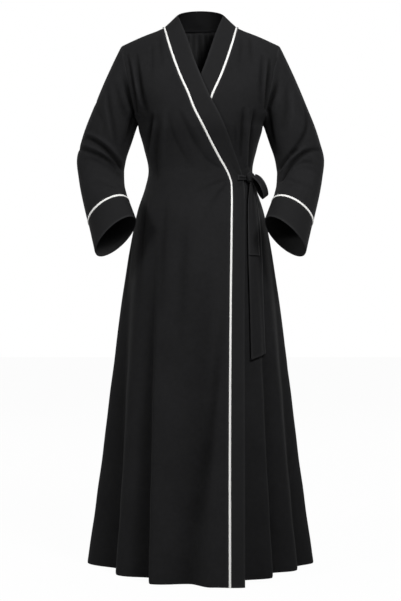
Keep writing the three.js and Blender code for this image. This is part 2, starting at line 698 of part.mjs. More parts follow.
// A stretch of the cuff between two places, each a ring number and a step along the arm from it
function cuffPiece(places, wall) {
  const rows = places.map(({ at, step }) => {
    const ring = sleeveRing(at);
    const axis = ringAxis(ring);
    const outer = RING_TURNS.map((turn) => ringPoint(ring, turn).addScaledVector(axis, step));
    const inner = outer.map((p, k) =>
      p.clone().addScaledVector(ringNormal(ring, RING_TURNS[k]), -wall),
    );
    return { outer, inner };
  });
  return [rows.map((row) => row.outer), rows.map((row) => row.inner)];
}

const CUFF_PIPING_PLACES = [
  { at: CUFF_SEAM_RING, step: SEAM_GAP },
  { at: CUFF_SEAM_RING, step: PIPING - SEAM_GAP },
];
const CUFF_PLACES = [
  { at: CUFF_SEAM_RING, step: PIPING + SEAM_GAP },
  { at: (CUFF_SEAM_RING + CUFF_END_RING) / 2, step: PIPING / 2 },
  { at: CUFF_END_RING, step: 0 },
];

// The outward direction of the dress at a place on its front, level with the floor
function outwardsAt(x, z) {
  return new THREE.Vector3(x / halfWidth(z) ** 2, onFront(UPPER_FRONT, x, z).y / frontDepth(z) ** 2, 0)
    .normalize();
}

function underFrontPoint(x, z, lift) {
  return mirrorX(onFront(UNDER_FRONT, -x, z)).addScaledVector(outwardsAt(x, z), lift);
}

// A ribbon from a grid of its outer points
function ribbon(outer) {
  const normals = gridNormals(outer);
  return [outer, movedIn(outer, normals, RIBBON)];
}

function tieStrap() {
  const rows = [STRAP.bottom, STRAP.top].map((z) => {
    const row = [];
    for (let k = 0; k <= STRAP.steps; k++) {
      const x = lerp(STRAP.from, STRAP.to, k / STRAP.steps);
      row.push(onFront(UPPER_FRONT, x, z).addScaledVector(outwardsAt(x, z), STRAP.lift));
    }
    return row;
  });
  return ribbon(rows);
}

const KNOT_CENTRE = onFront(UPPER_FRONT, KNOT.x, KNOT.z).addScaledVector(
  outwardsAt(KNOT.x, KNOT.z),
  KNOT.lift,
);

function tieKnot() {
  const geometry = new THREE.SphereGeometry(1, KNOT.sides, KNOT.rings);
  geometry.rotateX(Math.PI / 2);
  geometry.scale(KNOT.halfWidth, KNOT.halfDepth, KNOT.halfHeight);
  geometry.translate(...KNOT_CENTRE);
  return geometry;
}

// A tail that leaves the knot's underside and settles onto the under front as it hangs
function tieTail({ lift, topLift, settle, slant, rows }) {
  const left = curve(rows, "z", "left");
  const right = curve(rows, "z", "right");
  const [bottom, top] = [rows[0].z, rows.at(-1).z];
  const steps = Math.round((top - bottom) / TAIL_STEP) + 2;
  const grid = [];
  for (let i = 0; i <= steps; i++) {
    const z = lerp(bottom, top, (i / steps) ** TAIL_CROWDING);
    const proud = lerp(lift, topLift, smoothstep(z, top - settle, top));
    const cut = slant * (1 - smoothstep(z, bottom, bottom + SLANT_REACH * slant));
    grid.push(
      [0, 1 / 3, 2 / 3, 1].map((s) => {
        const level = Math.min(top, z + cut * s);
        return underFrontPoint(lerp(left(z), right(z), s), level, proud);
      }),
    );
  }
  return ribbon(grid);
}

// The bow's loop: a ribbon carried round a drop shape whose ends meet in the knot
function bowLoop() {
  const along = LOOP.along.clone().normalize();
  const over = LOOP.across.clone().addScaledVector(along, -LOOP.across.dot(along)).normalize();
  const open = new THREE.Vector3().crossVectors(over, along);
  const root = KNOT_CENTRE.clone().addScaledVector(along, LOOP.rootReach);
  root.z += LOOP.rootRise;
  const start = degToRad(LOOP.rootAngle);
  const grid = [];
  for (let i = 0; i <= LOOP.steps; i++) {
    const turn = lerp(start, 2 * Math.PI - start, i / LOOP.steps);
    const reach = (1 - Math.cos(turn)) / 2;
    const middle = root
      .clone()
      .addScaledVector(along, LOOP.length * reach)
      .addScaledVector(open, LOOP.opening * Math.sin(turn) * reach ** LOOP.sharpness);
    middle.z -= LOOP.droop * reach ** 2;
    const width = lerp(LOOP.rootWidth, LOOP.tipWidth, smoothstep(reach, LOOP.widens.from, LOOP.widens.to));
    grid.push([-0.5, 0, 0.5].map((s) => middle.clone().addScaledVector(over, width * s)));
  }
  return ribbon(grid);
}

const group = new THREE.Group();

function add(name, geometry, look) {
  const mesh = new THREE.Mesh(geometry, new THREE.MeshStandardMaterial(look));
  mesh.name = name;
  group.add(mesh);
}

function addCloth(name, [outer, inner], look, ring = false) {
  add(name, clothBody(outer, inner, ring), look);
}

// The wearer's left pieces are drawn at -X and mirrored to +X
function atLeft([outer, inner]) {
  return [mapGrid(outer, mirrorX), mapGrid(inner, mirrorX)];
}

const asDrawn = (faces) => faces;
const neck = neckStrip();
const shoulderEnds = {};

for (const { side, place, layer, tucking } of [
  { side: "right", place: asDrawn, layer: UPPER_FRONT, tucking: PLAIN_TUCK },
  { side: "left", place: atLeft, layer: UNDER_FRONT, tucking: tuck },
]) {
  const strip = [...frontStrip(layer, tucking), ...neck];
  const normals = gridNormals(strip);
  normals.at(-1).forEach((normal) => normal.setX(0).normalize());
  addCloth(`${side}_front_panel`, place(frontPanel(layer, strip, normals)), CLOTH_LOOK);
  const piping = { first: 0, last: 1, wall: CLOTH, seamed: [false, true] };
  addCloth(`${side}_band_piping`, place(stripPiece(strip, normals, piping)), PIPING_LOOK);
  const rows = ROWS.length;
  const band = { first: 1, last: strip[0].length - 1, wall: DOUBLED, seamed: [false, true] };
  const bandFaces = stripPiece(strip.slice(0, rows), normals.slice(0, rows), band);
  addCloth(`${side}_band`, place(bandFaces), BAND_LOOK);
  shoulderEnds[side] = { points: strip[rows - 1], normals: normals[rows - 1] };
}
addCloth("neck_band", neckBand(neck, shoulderEnds.right, shoulderEnds.left), BAND_LOOK);

const neckNormals = gridNormals([...frontStrip(UPPER_FRONT, PLAIN_TUCK), ...neck]).slice(-NECK_STEPS);
addCloth("back_panel", backPanel(neckNormals), CLOTH_LOOK);

const plainStrip = frontStrip(UPPER_FRONT, PLAIN_TUCK);
const armhole = armholePoints(frontPanelPoints(UPPER_FRONT, plainStrip), backPanelPoints());
for (const [side, place] of [["right", asDrawn], ["left", atLeft]]) {
  addCloth(`${side}_sleeve`, place(sleeve(armhole)), CLOTH_LOOK, true);
  addCloth(`${side}_cuff_piping`, place(cuffPiece(CUFF_PIPING_PLACES, CLOTH)), PIPING_LOOK, true);
  addCloth(`${side}_cuff`, place(cuffPiece(CUFF_PLACES, DOUBLED)), BAND_LOOK, true);
}

addCloth("tie_strap", tieStrap(), BAND_LOOK);
add("tie_knot", tieKnot(), BAND_LOOK);
addCloth("tie_loop", bowLoop(), BAND_LOOK);
addCloth("tie_tail_long", tieTail(LONG_TAIL), BAND_LOOK);
addCloth("tie_tail_short", tieTail(SHORT_TAIL), BAND_LOOK);

export default group;
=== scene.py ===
"""A floor-length wrap-front prayer dress, hollow as worn, with white piping and a side tie.

The cloth pieces are grids of points worked out from tables of sizes in millimetres: +Z is up, -Y is
the front and +X the wearer's left. Pieces of the wearer's left side are drawn at -X and mirrored.
"""

import bpy
import numpy as np
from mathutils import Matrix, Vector


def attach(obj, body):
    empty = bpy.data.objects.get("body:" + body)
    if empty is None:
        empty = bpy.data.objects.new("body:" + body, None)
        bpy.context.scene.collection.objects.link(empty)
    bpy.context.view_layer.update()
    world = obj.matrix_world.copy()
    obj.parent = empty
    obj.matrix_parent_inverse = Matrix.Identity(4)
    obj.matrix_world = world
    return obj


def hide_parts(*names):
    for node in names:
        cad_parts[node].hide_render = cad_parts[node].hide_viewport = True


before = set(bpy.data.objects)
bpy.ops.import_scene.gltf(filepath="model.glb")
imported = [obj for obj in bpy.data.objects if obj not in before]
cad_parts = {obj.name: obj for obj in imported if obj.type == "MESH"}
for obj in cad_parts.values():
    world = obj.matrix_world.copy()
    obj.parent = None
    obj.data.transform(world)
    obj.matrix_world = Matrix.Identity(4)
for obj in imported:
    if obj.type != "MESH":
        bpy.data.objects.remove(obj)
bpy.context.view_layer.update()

MM = 0.001

# Walls of the cloth: single crepe, doubled crepe, the tie's ribbon and the piping
CLOTH, DOUBLED, RIBBON, PIPING_WALL = 1.3, 2.2, 1.3, 0.5

# Driving sizes of the garment
HEM_Z = -1372.0
UNDERARM_X, UNDERARM_Z = 161.0, -248.0
SHOULDER_TIP_X, SHOULDER_TIP_Z = 204.0, -47.0
NECK_SIDE_X, NECK_BACK_Z = 95.0, 7.0
# Front and back part over this height below the line where they meet, which rises by these much
# between the sides of the neck
SHOULDER_ROUNDING = 100.0
FRONT_RISE, BACK_RISE = 20.0, 60.0
# The level of the band's seam in the row that meets the underarm, and the levels between which
# the band leaves the chest to stand as a collar
UNDERARM_SEAM_Z = -184.0
COLLAR_STANDS = (-150.0, -40.0)
# The collar's free edge at the shoulder seam, and at the centre back
COLLAR_SIDE = (59.0, 8.0, 36.0)
COLLAR_BACK_Y, COLLAR_BACK_Z = 68.0, 60.0
# The top row of the back meets the side of the neck at this share of its width
NECK_START = 0.3

# The under front: how far it lies inside the upper one, the share of the way to its side seam
# over which it comes out, the levels between which it does so above the crossing, and how far its
# edge is tucked in at the waist
OVERLAP_SINK = 5.4
SINK_FADE = 0.9
SINK_ENDS = (-130.0, -60.0)
TUCK_LEAST, TUCK_FROM, TUCK_TO = 0.62, 200.0, 400.0

# The skirt's folds: the level where their angles are set, and how they grow towards the hem; and
# the shade on the floors of their valleys, as the depth of a crease that looks the same
FOLDS_SET_Z = -575.0
FOLD_GROWTH = 1.2
VALLEY_DEPTH, VALLEY_GROWTH, VALLEY_NARROWS = 3.6, 0.2, 3

# Edges that roll in: depth and reach on single cloth, and on doubled cloth
ROLL_DEPTH, ROLL_REACH = 1.1, 2.6
PRESSED_ROLL = {"depth": 1.0, "reach": 2.2}
# Creases and waves die out by this share, over this distance, beside the band's seam
SEAM_CALM, CALM_REACH = 0.85, 14.0
# A crease is measured along this many points, and felt out to this many half widths
CREASE_POINTS, CREASE_MARGIN = 13, 3
# Reach of the paler edges, the depth of a crease whose painted shade is full, and how dark that
# painted shade is
EDGE_REACH, CREASE_FULL, CREASE_DARK = 4.0, 6.0, 0.72

# The piping: its width, the height of its round top, how far its edges are sunk, the power of the
# sine that rounds it, and how far the band lies in under it
PIPING, PIPING_HEIGHT, PIPING_SUNK, PIPING_ROUND = 5.5, 1.5, 0.5, 0.6
UNDER_PIPING = 1.5
# At the cuff the piping runs past its width by this much at both edges, and a gap this wide is
# left between its width and the cuff's edge, under the piping
PIPING_PAST, CUFF_GAP = 0.3, 0.15

# Fineness of the grids, and passes of the search for an angle
SKIRT_ROWS, WAIST_ROWS, ARMHOLE_STEPS, NECK_STEPS = 120, 118, 54, 48
FRONT_COLUMNS, BACK_COLUMNS, BAND_COLUMNS, PIPING_COLUMNS = 124, 156, 14, 7
SLEEVE_ROWS, CUFF_ROWS, CUFF_PIPING_ROWS = 96, 26, 5
ANGLE_PASSES, ANGLE_DAMPING = 14, 0.6
WELD_REACH = 1e-5
# Shares of the extra rows or columns close to both ends of a grid, where seams and hems roll in
PANEL_ENDS, SKIRT_ENDS, BAND_ENDS = (0.004, 0.011, 0.02), (0.002, 0.005), (0.02, 0.05)
SLEEVE_ENDS, CUFF_ENDS, TAIL_ENDS = (0.003, 0.007), (0.01, 0.025), (0.004, 0.01)


def table(names, *rows):
    """Named columns of a table of numbers."""
    return dict(zip(names.split(), np.array(rows, float).T))


# Plain sections of the body: half width, and depth before and behind the side seam
BODY = table(
    "z half_width front back",
    (-1372, 292, 268, 262),
    (-1160, 261, 236, 230),
    (-930, 233, 200, 196),
    (-700, 204, 163, 168),
    (-575, 184, 140, 155),
    (-471, 162, 119, 135),
    (-410, 142, 104, 112),
    (-365, 133, 99, 100),
    (-307, 145, 110, 101),
    (-266, 157, 124, 107),
    (-248, 161, 127, 108),
    (-225, 180, 127, 108),
    (-175, 208, 124, 106),
    (-125, 220, 114, 104),
    (-50, 226, 88, 98),
    (0, 230, 70, 88),
)

# The front's seam with its band, the band's free edge, and the level of the same row at the side
FRONT_EDGE = table(
    "seam_z seam_x edge_x edge_z side_z",
    (-1372, 66.3, 105, -1372, -1372),
    (-1056, 67.8, 107, -1056, -1056),
    (-698, 71.8, 109, -698, -698),
    (-500, 75.3, 111.5, -500, -500),
    (-430, 76.3, 112, -426, -430),
    (-403, 75, 108.5, -391, -400),
    (-379, 66.5, 99, -361, -372),
    (-340, 43.5, 81, -315, -344),
    (-302, 22.5, 63, -270, -318),
    (-264, 2.5, 45, -231, -294),
    (-225, -17.5, 27, -198, -270),
    (-184, -33.5, 12, -166, -248),
    (-141, -52.5, -5, -124, -200),
    (-97, -68.5, -20, -82, -152),
    (-51, -82.5, -36, -30, -103),
    (0, -95, -59, 36, -47),
)
COLLAR_EDGE = table(
    "seam_z y", (-184, -122), (-141, -114), (-97, -100), (-51, -68), (-22, -32), (-6, -6), (0, 8)
)

# Crests and valleys of the skirt: angle round the body at FOLDS_SET_Z and at the hem, the push
# outwards at the hem, and the level where it starts
UPPER_FRONT_FOLDS = table(
    "top hem depth start",
    (-90, -90, -2, -430),
    (-73, -66, -67, -460),
    (-54, -49.6, -26, -430),
    (-40, -30.8, -52, -480),
    (-31, -22.8, 10, -450),
    (8, -5.5, -12, -620),
    (16, 4.9, 26, -560),
    (37, 18.2, 41, -520),
)
UNDER_FRONT_FOLDS = table(
    "top hem depth start",
    (-90, -90, -2, -430),
    (-77, -75.9, -42, -430),
    (-64, -66, -29, -430),
    (-54, -50, -62, -460),
    (-45, -39.2, -19, -430),
    (-36, -24.6, -29, -420),
    (-10, -6, -34, -420),
    (60, 60, -33, -420),
)
BACK_FOLDS = table(
    "top hem depth start",
    (90, 90, -2, -430),
    (103, 103, -46, -450),
    (117, 119, -8, -430),
    (133, 136, -52, -480),
    (149, 151, -4, -440),
    (165, 167, -42, -520),
    (181, 183, -10, -460),
    (196, 198, -54, -490),
    (211, 212, -6, -440),
    (226, 227, -44, -470),
    (241, 242, -12, -430),
    (256, 256, -56, -460),
    (270, 270, -2, -430),
)

# Rings of the sleeve at -X: centre, the half axis to the outer arm, and the one to the front
SLEEVE = table(
    "ring x y z out_x out_z fore_x fore_y fore_z",
    (0, -182.5, -4.5, -147.5, -21.5, 100.5, 0, -61.5, 0),
    (1, -204, -4, -192, -40.5, 61, 0, -58, 0),
    (2, -221, -3, -234, -54.5, 28, 0, -55, 0),
    (3, -236, -2, -275, -58, 22, 0, -53, 0),
    (4, -248, -2, -312, -58.5, 20, 0, -51, 0),
    (5, -256, -6, -352, -61, 14, 0, -50, 4),
    (6, -252, -22, -396, -58, 6, -2, -46, 14),
    (7, -243, -50, -436, -55, -10, -4, -41, 22),
    (8, -231, -85, -476, -51, -29, -6, -36, 28),
    (9, -209, -130, -541, -51, -42, -7, -36, 26),
)
CUFF_SEAM_RING, CUFF_END_RING = 8.0, 9.0
ARMHOLE_FADE_RING, SEAM_RING = 2.0, 0.1

# Creases in the cloth, given one by one: soft troughs, or ridges where their depths are below
# zero. They run from u0, v0 to u1, v1, which are x and z on a panel, and ring and turn on a
# sleeve, and their middles are moved by `bow_u` and `bow_v`. `start`, `middle` and `end` are
# depths, and `width0` and `width1` the half widths at the two ends.
CREASE_NAMES = "u0 v0 u1 v1 width0 width1 start middle end bow_u bow_v"
RIGHT_FRONT_CREASES = table(
    CREASE_NAMES,
    (-186, -79, -160, -223, 4, 5, 2, 5, 3, 5, -14),
    (-161, -82, -134, -227, 5, 9, 2, 6.5, 2.5, -2, -15),
    (-174, -92, -149, -211, 5, 6, -1, -3, -1, 1, -10),
    (-102, -36, -98, -120, 5, 7, 2, 2, 0.3, 1, 1),
    (-123, -58, -123, -149, 5, 7, 1.4, 1.6, 0.2, 1, 1),
    (-82, -49, -66, -147, 5, 7, 1, 1.2, 0.2, -2, -1),
    (-119, -238, -133, -317, 6, 7, 3, 6, 2, -1, 7),
    (-111, -229, -123, -323, 5, 6, -1, -2.5, -1, -1, 5),
    (-101, -259, -110, -390, 8, 10, 1, 4, 1.5, -7, 4),
    (-86, -231, -94, -346, 7, 9, -1, -2.2, -0.6, -2, 15),
    (-52, -232, 16, -349, 6, 8, 0.8, 2.2, 0.8, -6, 0),
    (-41, -223, 29, -329, 6, 8, -0.6, -1.2, -0.4, -5, -1),
    (-81, -241, -21, -364, 7, 9, 0.5, 1.8, 0.5, -10, -2),
    (11, -344, 61, -373, 5, 4, 0.6, 1.6, 1.6, -3, 0),
    (64, -398, -21, -439, 4, 8, 2, 1.4, 0.2, 2, 5),
    (66, -408, 6, -505, 4, 9, 2, 1.6, 0.2, 0, 7),
    (-133, -435, -155, -698, 7, 11, 0.5, 3, 1, -3, 19),
    (-86, -448, -98, -722, 8, 12, 0.5, 2.6, 1, -2, 11),
    (-36, -487, -47, -795, 9, 14, 0.3, 2, 0.5, 1, 17),
    (55, -747, -4, -1220, 10, 16, 0.6, 3.6, 1, 2, 11),
    (-168, -477, -190, -688, 6, 9, 0.8, 3, 1, -1, 12),
)
LEFT_FRONT_CREASES = table(
    CREASE_NAMES,
    (-195, -89, -172, -212, 5, 6, 2, 6.5, 5, -3, 3),
    (-176, -92, -163, -214, 5, 6, 2, 6.5, 4, 0, 8),
    (-157, -83, -151, -215, 5, 8, 1.5, 3.4, 1, 2, 2),
    (-166, -98, -156, -210, 4, 5, -1, -2.4, -0.8, 0, 3),
    (-125, -39, -129, -113, 5, 7, 1.6, 2, 0.2, 0, 7),
    (-102, -42, -95, -130, 5, 7, 1.2, 1.6, 0.2, 0, 3),
    (-106, -224, -100, -335, 5, 6, 2, 5, 2, 0, 7),
    (-120, -223, -115, -353, 4, 4, -1, -3, -1.2, 0, 8),
    (-134, -227, -124, -357, 5, 6, 3, 6, 3, 0, 17),
    (-88, -254, -89, -336, 5, 6, 0.6, 1.8, 0.6, 1, 3),
)
RIGHT_BAND_CREASES = table(
    CREASE_NAMES,
    (79, -352, 106, -385, 3, 4, 0.3, 1.8, 2.2, -3, -4),
    (93, -345, 108, -372, 3, 3, -0.2, -0.9, -1, 0, -2),
    (78, -384, 108, -391, 2.5, 3, 0.2, 1.2, 1.8, 0, 2),
    (84, -420, 109, -403, 3, 3, 0.2, 1, 1.4, 2, 1),
)
LEFT_BAND_CREASES = table(CREASE_NAMES, (-8, -90, 2, -130, 4, 4, 0.2, 0.6, 0.3, 0, 0))
BACK_CREASES = table(
    CREASE_NAMES,
    (0, 2, 1, -150, 3.7, 9.9, 4, 3.6, 0.5, 1, 0),
    (-14, 2, -19, -128, 3.1, 8.7, 3.2, 3, 0.5, -2, 0),
    (15, 2, 21, -140, 3.1, 8.7, 3.6, 3, 0.5, 2, 0),
    (-29, 0, -40, -104, 3.1, 8.1, 2.6, 2.4, 0.5, -4, 0),
    (30, 0, 40, -96, 3.1, 8.1, 2.8, 2.2, 0.5, 4, 0),
    (44, -4, 58, -72, 3.1, 7.4, 1.8, 1.6, 0.5, 4, 0),
    (-44, -4, -60, -80, 3.1, 7.4, 1.8, 1.6, 0.5, -4, 0),
    (176, -76, 158, -206, 5.6, 8.7, 3.2, 8, 1.6, -6, 0),
    (-176, -76, -158, -214, 5.6, 8.7, 3.2, 8.6, 1.6, 6, 0),
    (160, -80, 149, -190, 5, 8.1, -1.6, -5.4, -1.6, -5, 0),
    (-160, -80, -150, -196, 5, 8.1, -1.6, -5.4, -1.6, 5, 0),
    (146, -240, 70, -312, 6.8, 13.6, 5.4, 4.8, 0.6, 10, 0),
    (-146, -238, -76, -306, 6.8, 13.6, 5.8, 4.8, 0.6, -10, 0),
    (128, -330, 24, -372, 7.4, 13.6, 3.8, 4.2, 0.5, 7, 0),
    (-128, -334, -36, -368, 7.4, 12.4, 3.8, 3.8, 0.5, -7, 0),
    (124, -362, 40, -404, 6.2, 12.4, 3.2, 3.5, 0.5, -6, 0),
    (-124, -366, -30, -410, 6.2, 13.6, 3.2, 3.8, 0.5, 6, 0),
    (84, -400, 96, -600, 8.1, 13.6, 0.8, 4.8, 1.3, 2, 0),
    (-62, -398, -70, -620, 8.1, 14.9, 0.8, 4.8, 1.3, 2, 0),
    (8, -404, 12, -590, 8.7, 14.9, 0.8, 4.2, 1.3, -2, 0),
    (-112, -404, -122, -560, 7.4, 11.2, 0.8, 4.5, 1.3, 2, 0),
)
RIGHT_SLEEVE_CREASES = table(
    CREASE_NAMES,
    (0.12, 39, 0.1, 147, 5, 6, 2.5, 7, 6, 0.21, -2),
    (0.12, 75, 0, 125, 4.5, 6, 2, 6, 5, 0.02, -1),
    (0.08, 56, 0, 123, 3.5, 4, -1, -2.6, -1, 0.06, 2),
    (0.84, 60, 1.68, 126, 6, 8, 1, 3.4, 1.4, -0.2, -2),
    (1.16, 45, 3.46, 120, 5, 6, 1, 3.6, 1.6, -0.35, 0),
    (1.34, 40, 3.42, 109, 4, 5, -0.6, -2, -0.8, -0.26, 2),
    (1.62, -17, 3.04, 81, 6, 7, 0.5, 1.8, 0.5, -0.07, 26),
    (0, 134, 3.38, 143, 6, 9, 5, 6, 1.5, 0.03, 4),
    (3.72, 38, 4.96, 153, 5, 6, 2.5, 7, 6, -0.38, -4),
    (3.4, 44, 4.4, 144, 4.5, 5, -2, -3, -2, -0.22, 4),
    (4.44, -17, 5.12, 135, 5, 6, 0.2, 6, 3.6, -0.22, 27),
    (4.16, 37, 4.78, 132, 3.5, 3.5, -1.6, -2.6, -1.4, -0.19, 2),
    (5.08, 43, 5.6, 144, 6, 8, 0.6, 2.2, 1.6, -0.32, -2),
    (6.76, 59, 7.56, 132, 6, 9, 0.3, 1.4, 0.6, -0.36, 0),
    (0.8, 262, 3.3, 208, 5.6, 7.4, 3.2, 7, 3.2, 0.15, 0),
    (1.2, 300, 3.8, 280, 7.4, 9.3, 1.6, 4.8, 1, 0.12, 0),
    (4.1, 198, 5.4, 262, 5.6, 7.4, 4.8, 7.4, 1.6, 0.3, 0),
    (5, 190, 6.4, 250, 5.6, 7.4, 4.8, 6.4, 1.3, 0.24, 0),
    (6.3, 282, 7.8, 236, 6.8, 8.1, 1, 4.8, 1.6, 0.15, 0),
)
LEFT_SLEEVE_CREASES = table(
    CREASE_NAMES,
    (0.18, 50, 0.12, 132, 5, 6, 3, 7.5, 6, 0.19, -4),
    (0.32, 45, 1.16, 116, 4.5, 6, -1, -2.4, -0.8, -0.1, 0),
    (0.8, 52, 2.6, 112, 6, 8, 0.6, 2.8, 0.8, -0.28, 0),
    (1.06, 40, 2.8, 93, 5, 7, -0.4, -1.8, -0.6, -0.25, 2),
    (1.8, 36, 4.18, 108, 5, 6, 0.8, 4.4, 4, -0.01, -17),
    (4.1, 97, 4.98, 151, 4.5, 5, 3.4, 6, 5, -0.16, -4),
    (4.5, 36, 5.96, 144, 5, 6, 3, 7.4, 6, -0.61, 5),
    (4.14, 75, 5.26, 142, 3.5, 4, -1.4, -3, -1.8, -0.18, 2),
    (0.46, 131, 3.74, 152, 6, 9, 5, 6, 2, 0, 4),
    (5.18, 104, 5.52, 52, 4.5, 5.5, 0.8, 3, 1, -0.27, 0),
    (5.64, 102, 6, 45, 5, 6, 0.4, 1.6, 0.6, -0.26, -2),
    (6.02, 130, 6.92, 50, 6, 8, 0.6, 1.6, 0.5, 0.17, 6),
    (0.9, 256, 3.1, 212, 5.6, 7.4, 3.2, 6.7, 3.2, 0.15, 0),
    (1.4, 296, 3.9, 276, 7.4, 9.3, 1.6, 4.8, 1, 0.12, 0),
    (4.3, 200, 5.5, 258, 5.6, 7.4, 4.8, 7.7, 1.6, 0.3, 0),
    (5.2, 188, 6.5, 246, 5.6, 7.4, 4.8, 6.1, 1.3, 0.24, 0),
    (6.2, 286, 7.8, 240, 6.8, 8.1, 1, 4.8, 1.6, 0.15, 0),
)

# Slow unevenness of the hanging cloth: waves of these lengths, headings and heights. Depth counts
# by the first share, and height by the second; sleeves and cuffs have less of them
RIPPLE_DEPTHWAYS, RIPPLE_UPWAYS = 0.7, 0.45
SLEEVE_RIPPLE, CUFF_RIPPLE = 0.8, 0.4
RIPPLES = table(
    "length heading height phase",
    (210, 12, 0.8, 0.4),
    (131, -24, 0.5, 2.1),
    (83, 38, 0.32, 4.4),
    (57, 81, 0.2, 1.3),
    (47, -63, 0.16, 5.2),
)

UP_WAY = np.array([0.0, 0.0, 1.0])

# The tie's strap, from the band to the knot. It stands off the front by `lift`, with gathers of
# height `ridge`, and narrows by `pinch` at the knot; `fades` is where the gathers start and are
# full, and `groove` the width of the painted shade line between them
STRAP = {
    "start": 92.0,
    "end": 113.3,
    "top": -383.0,
    "bottom": -397.0,
    "lift": 3.0,
    "ridge": 0.8,
    "pinch": 0.25,
    "fades": (0.0, 0.4),
    "groove": 0.16,
    "rows": 9,
    "columns": 25,
}
# The knot: a ball with half sizes `half`, wound in `wraps` ridges of height `swell` that lean over
# by `twist`, with a `waist` of the width `waist_width` that rises and sinks by `waist_leans`
KNOT = {
    "x": 118.0,
    "z": -388.0,
    "lift": 10.0,
    "half": np.array([11.0, 8.0, 13.0]),
    "wraps": 5,
    "swell": 0.07,
    "twist": 3,
    "waist": 0.12,
    "waist_width": 0.25,
    "waist_leans": 0.35,
    "rows": 33,
    "columns": 48,
}
# The two tails: how far they stand off the under front, and off at the knot, how much longer one
# edge of the cut end is, and their two edges from the end to the knot
LONG_TAIL = {
    "lift": 5.2,
    "top_lift": 9.0,
    "slant": 14.0,
    "rows": table(
        "z left right",
        (-845, 122, 159),
        (-700, 119, 154),
        (-586, 116, 151),
        (-500, 116, 145),
        (-440, 117, 136),
        (-401, 118, 128),
    ),
}
SHORT_TAIL = {
    "lift": 8.6,
    "top_lift": 12.5,
    "slant": 0.0,
    "rows": table(
        "z left right", (-586, 115, 142), (-500, 114, 137), (-440, 114, 131), (-401, 115, 125)
    ),
}
# A tail settles over this height below the knot, and is gathered over the next one; its cut fades
# out over this many times its slant; and it has gathers and a slow swing of these heights
TAIL_SETTLE, TAIL_GATHERED, SLANT_REACH = 60.0, 130.0, 4.0
TAIL_GATHERS, TAIL_SWING, TAIL_SWING_LENGTH, TAIL_CLEAR = 1.6, 0.9, 46.0, 0.6
TAIL_ROWS, TAIL_COLUMNS = 90, 13
# The bow's loop, as `loop_points` says. `gather_fades` is where its gathers start to fade and have
# gone, and `heart` the share of its length that its cloth faces away from
LOOP = {
    "length": 47.0,
    "root_reach": 6.0,
    "root_rise": 10.0,
    "opening": 13.5,
    "root_width": 19.0,
    "tip_width": 22.0,
    "widens": (0.0, 0.35),
    "droop": 25.0,
    "gathers": 1.2,
    "gather_fades": (0.1, 0.7),
    "heart": 0.55,
    "sharpness": 0.35,
    "root_angle": 38.0,
    "rows": 80,
    "columns": 11,
    "along": np.array([0.72, -0.16, -0.66]),
    "across": np.array([0.58, 0.66, 0.46]),
}


def curve(rows, by, column):
    """A cubic through the rows of a table. Its slope at a row is the mean of the slopes of the
    stretches on both sides, and at either end that of the end stretch."""
    place, value = rows[by], rows[column]
    step, rise = np.diff(place), np.diff(value)
    secant = rise / step
    slope = np.concatenate([secant[:1], (secant[1:] + secant[:-1]) / 2, secant[-1:]])

    def read(where):
        """The cubic a + t b + t (1 - t) ((1 - t) lead + t trail) of the stretch that holds it."""
        where = np.clip(where, place[0], place[-1])
        k = np.clip(np.searchsorted(place, where, side="right") - 1, 0, len(step) - 1)
        t = (where - place[k]) / step[k]
        lead = slope[k] * step[k] - rise[k]
        trail = rise[k] - slope[k + 1] * step[k]
        return value[k] + t * rise[k] + t * (1 - t) * ((1 - t) * lead + t * trail)

    return read


half_width = curve(BODY, "z", "half_width")
front_depth = curve(BODY, "z", "front")
back_depth = curve(BODY, "z", "back")
seam_x = curve(FRONT_EDGE, "seam_z", "seam_x")
edge_x = curve(FRONT_EDGE, "seam_z", "edge_x")
edge_z = curve(FRONT_EDGE, "seam_z", "edge_z")
side_z = curve(FRONT_EDGE, "seam_z", "side_z")
edge_x_at_level = curve(FRONT_EDGE, "edge_z", "edge_x")
collar_edge_y = curve(COLLAR_EDGE, "seam_z", "y")


def smooth(x, low, high):
    """0 below `low`, 1 above `high`, and t t (3 - 2 t) between."""
    t = np.clip((x - low) / (high - low), 0, 1)
    return t * t * (3 - 2 * t)


def mix(a, b, share):
    """The place between two values: a plus its share of the way to b."""
    return a + (b - a) * share


def unit(vectors):
    """Vectors divided by their own length."""
    return vectors / np.maximum(np.linalg.norm(vectors, axis=-1, keepdims=True), 1e-9)


def mirrored(points):
    """The same points on the other side of the dress: x with its sign changed."""
    return points * np.array([-1.0, 1.0, 1.0])


def shoulder_z(x):
    """Level of the shoulder seam: a straight line from the side of the neck down to the tip."""
    return SHOULDER_TIP_Z * (np.abs(x) - NECK_SIDE_X) / (SHOULDER_TIP_X - NECK_SIDE_X)


def parting(x, z, at_back):
    """How far front and back have parted below the shoulder line: sqrt(1 - (1 - d)^2), where d
    grows from 0 to 1 over the rounding of the shoulder."""
    rise = np.where(at_back, BACK_RISE, FRONT_RISE) * (1 - (x / NECK_SIDE_X) ** 2)
    closing_z = np.where(np.abs(x) > NECK_SIDE_X, shoulder_z(x), rise)
    down = np.clip((closing_z - z) / SHOULDER_ROUNDING, 0, 1)
    return np.sqrt(1 - (1 - down) ** 2)


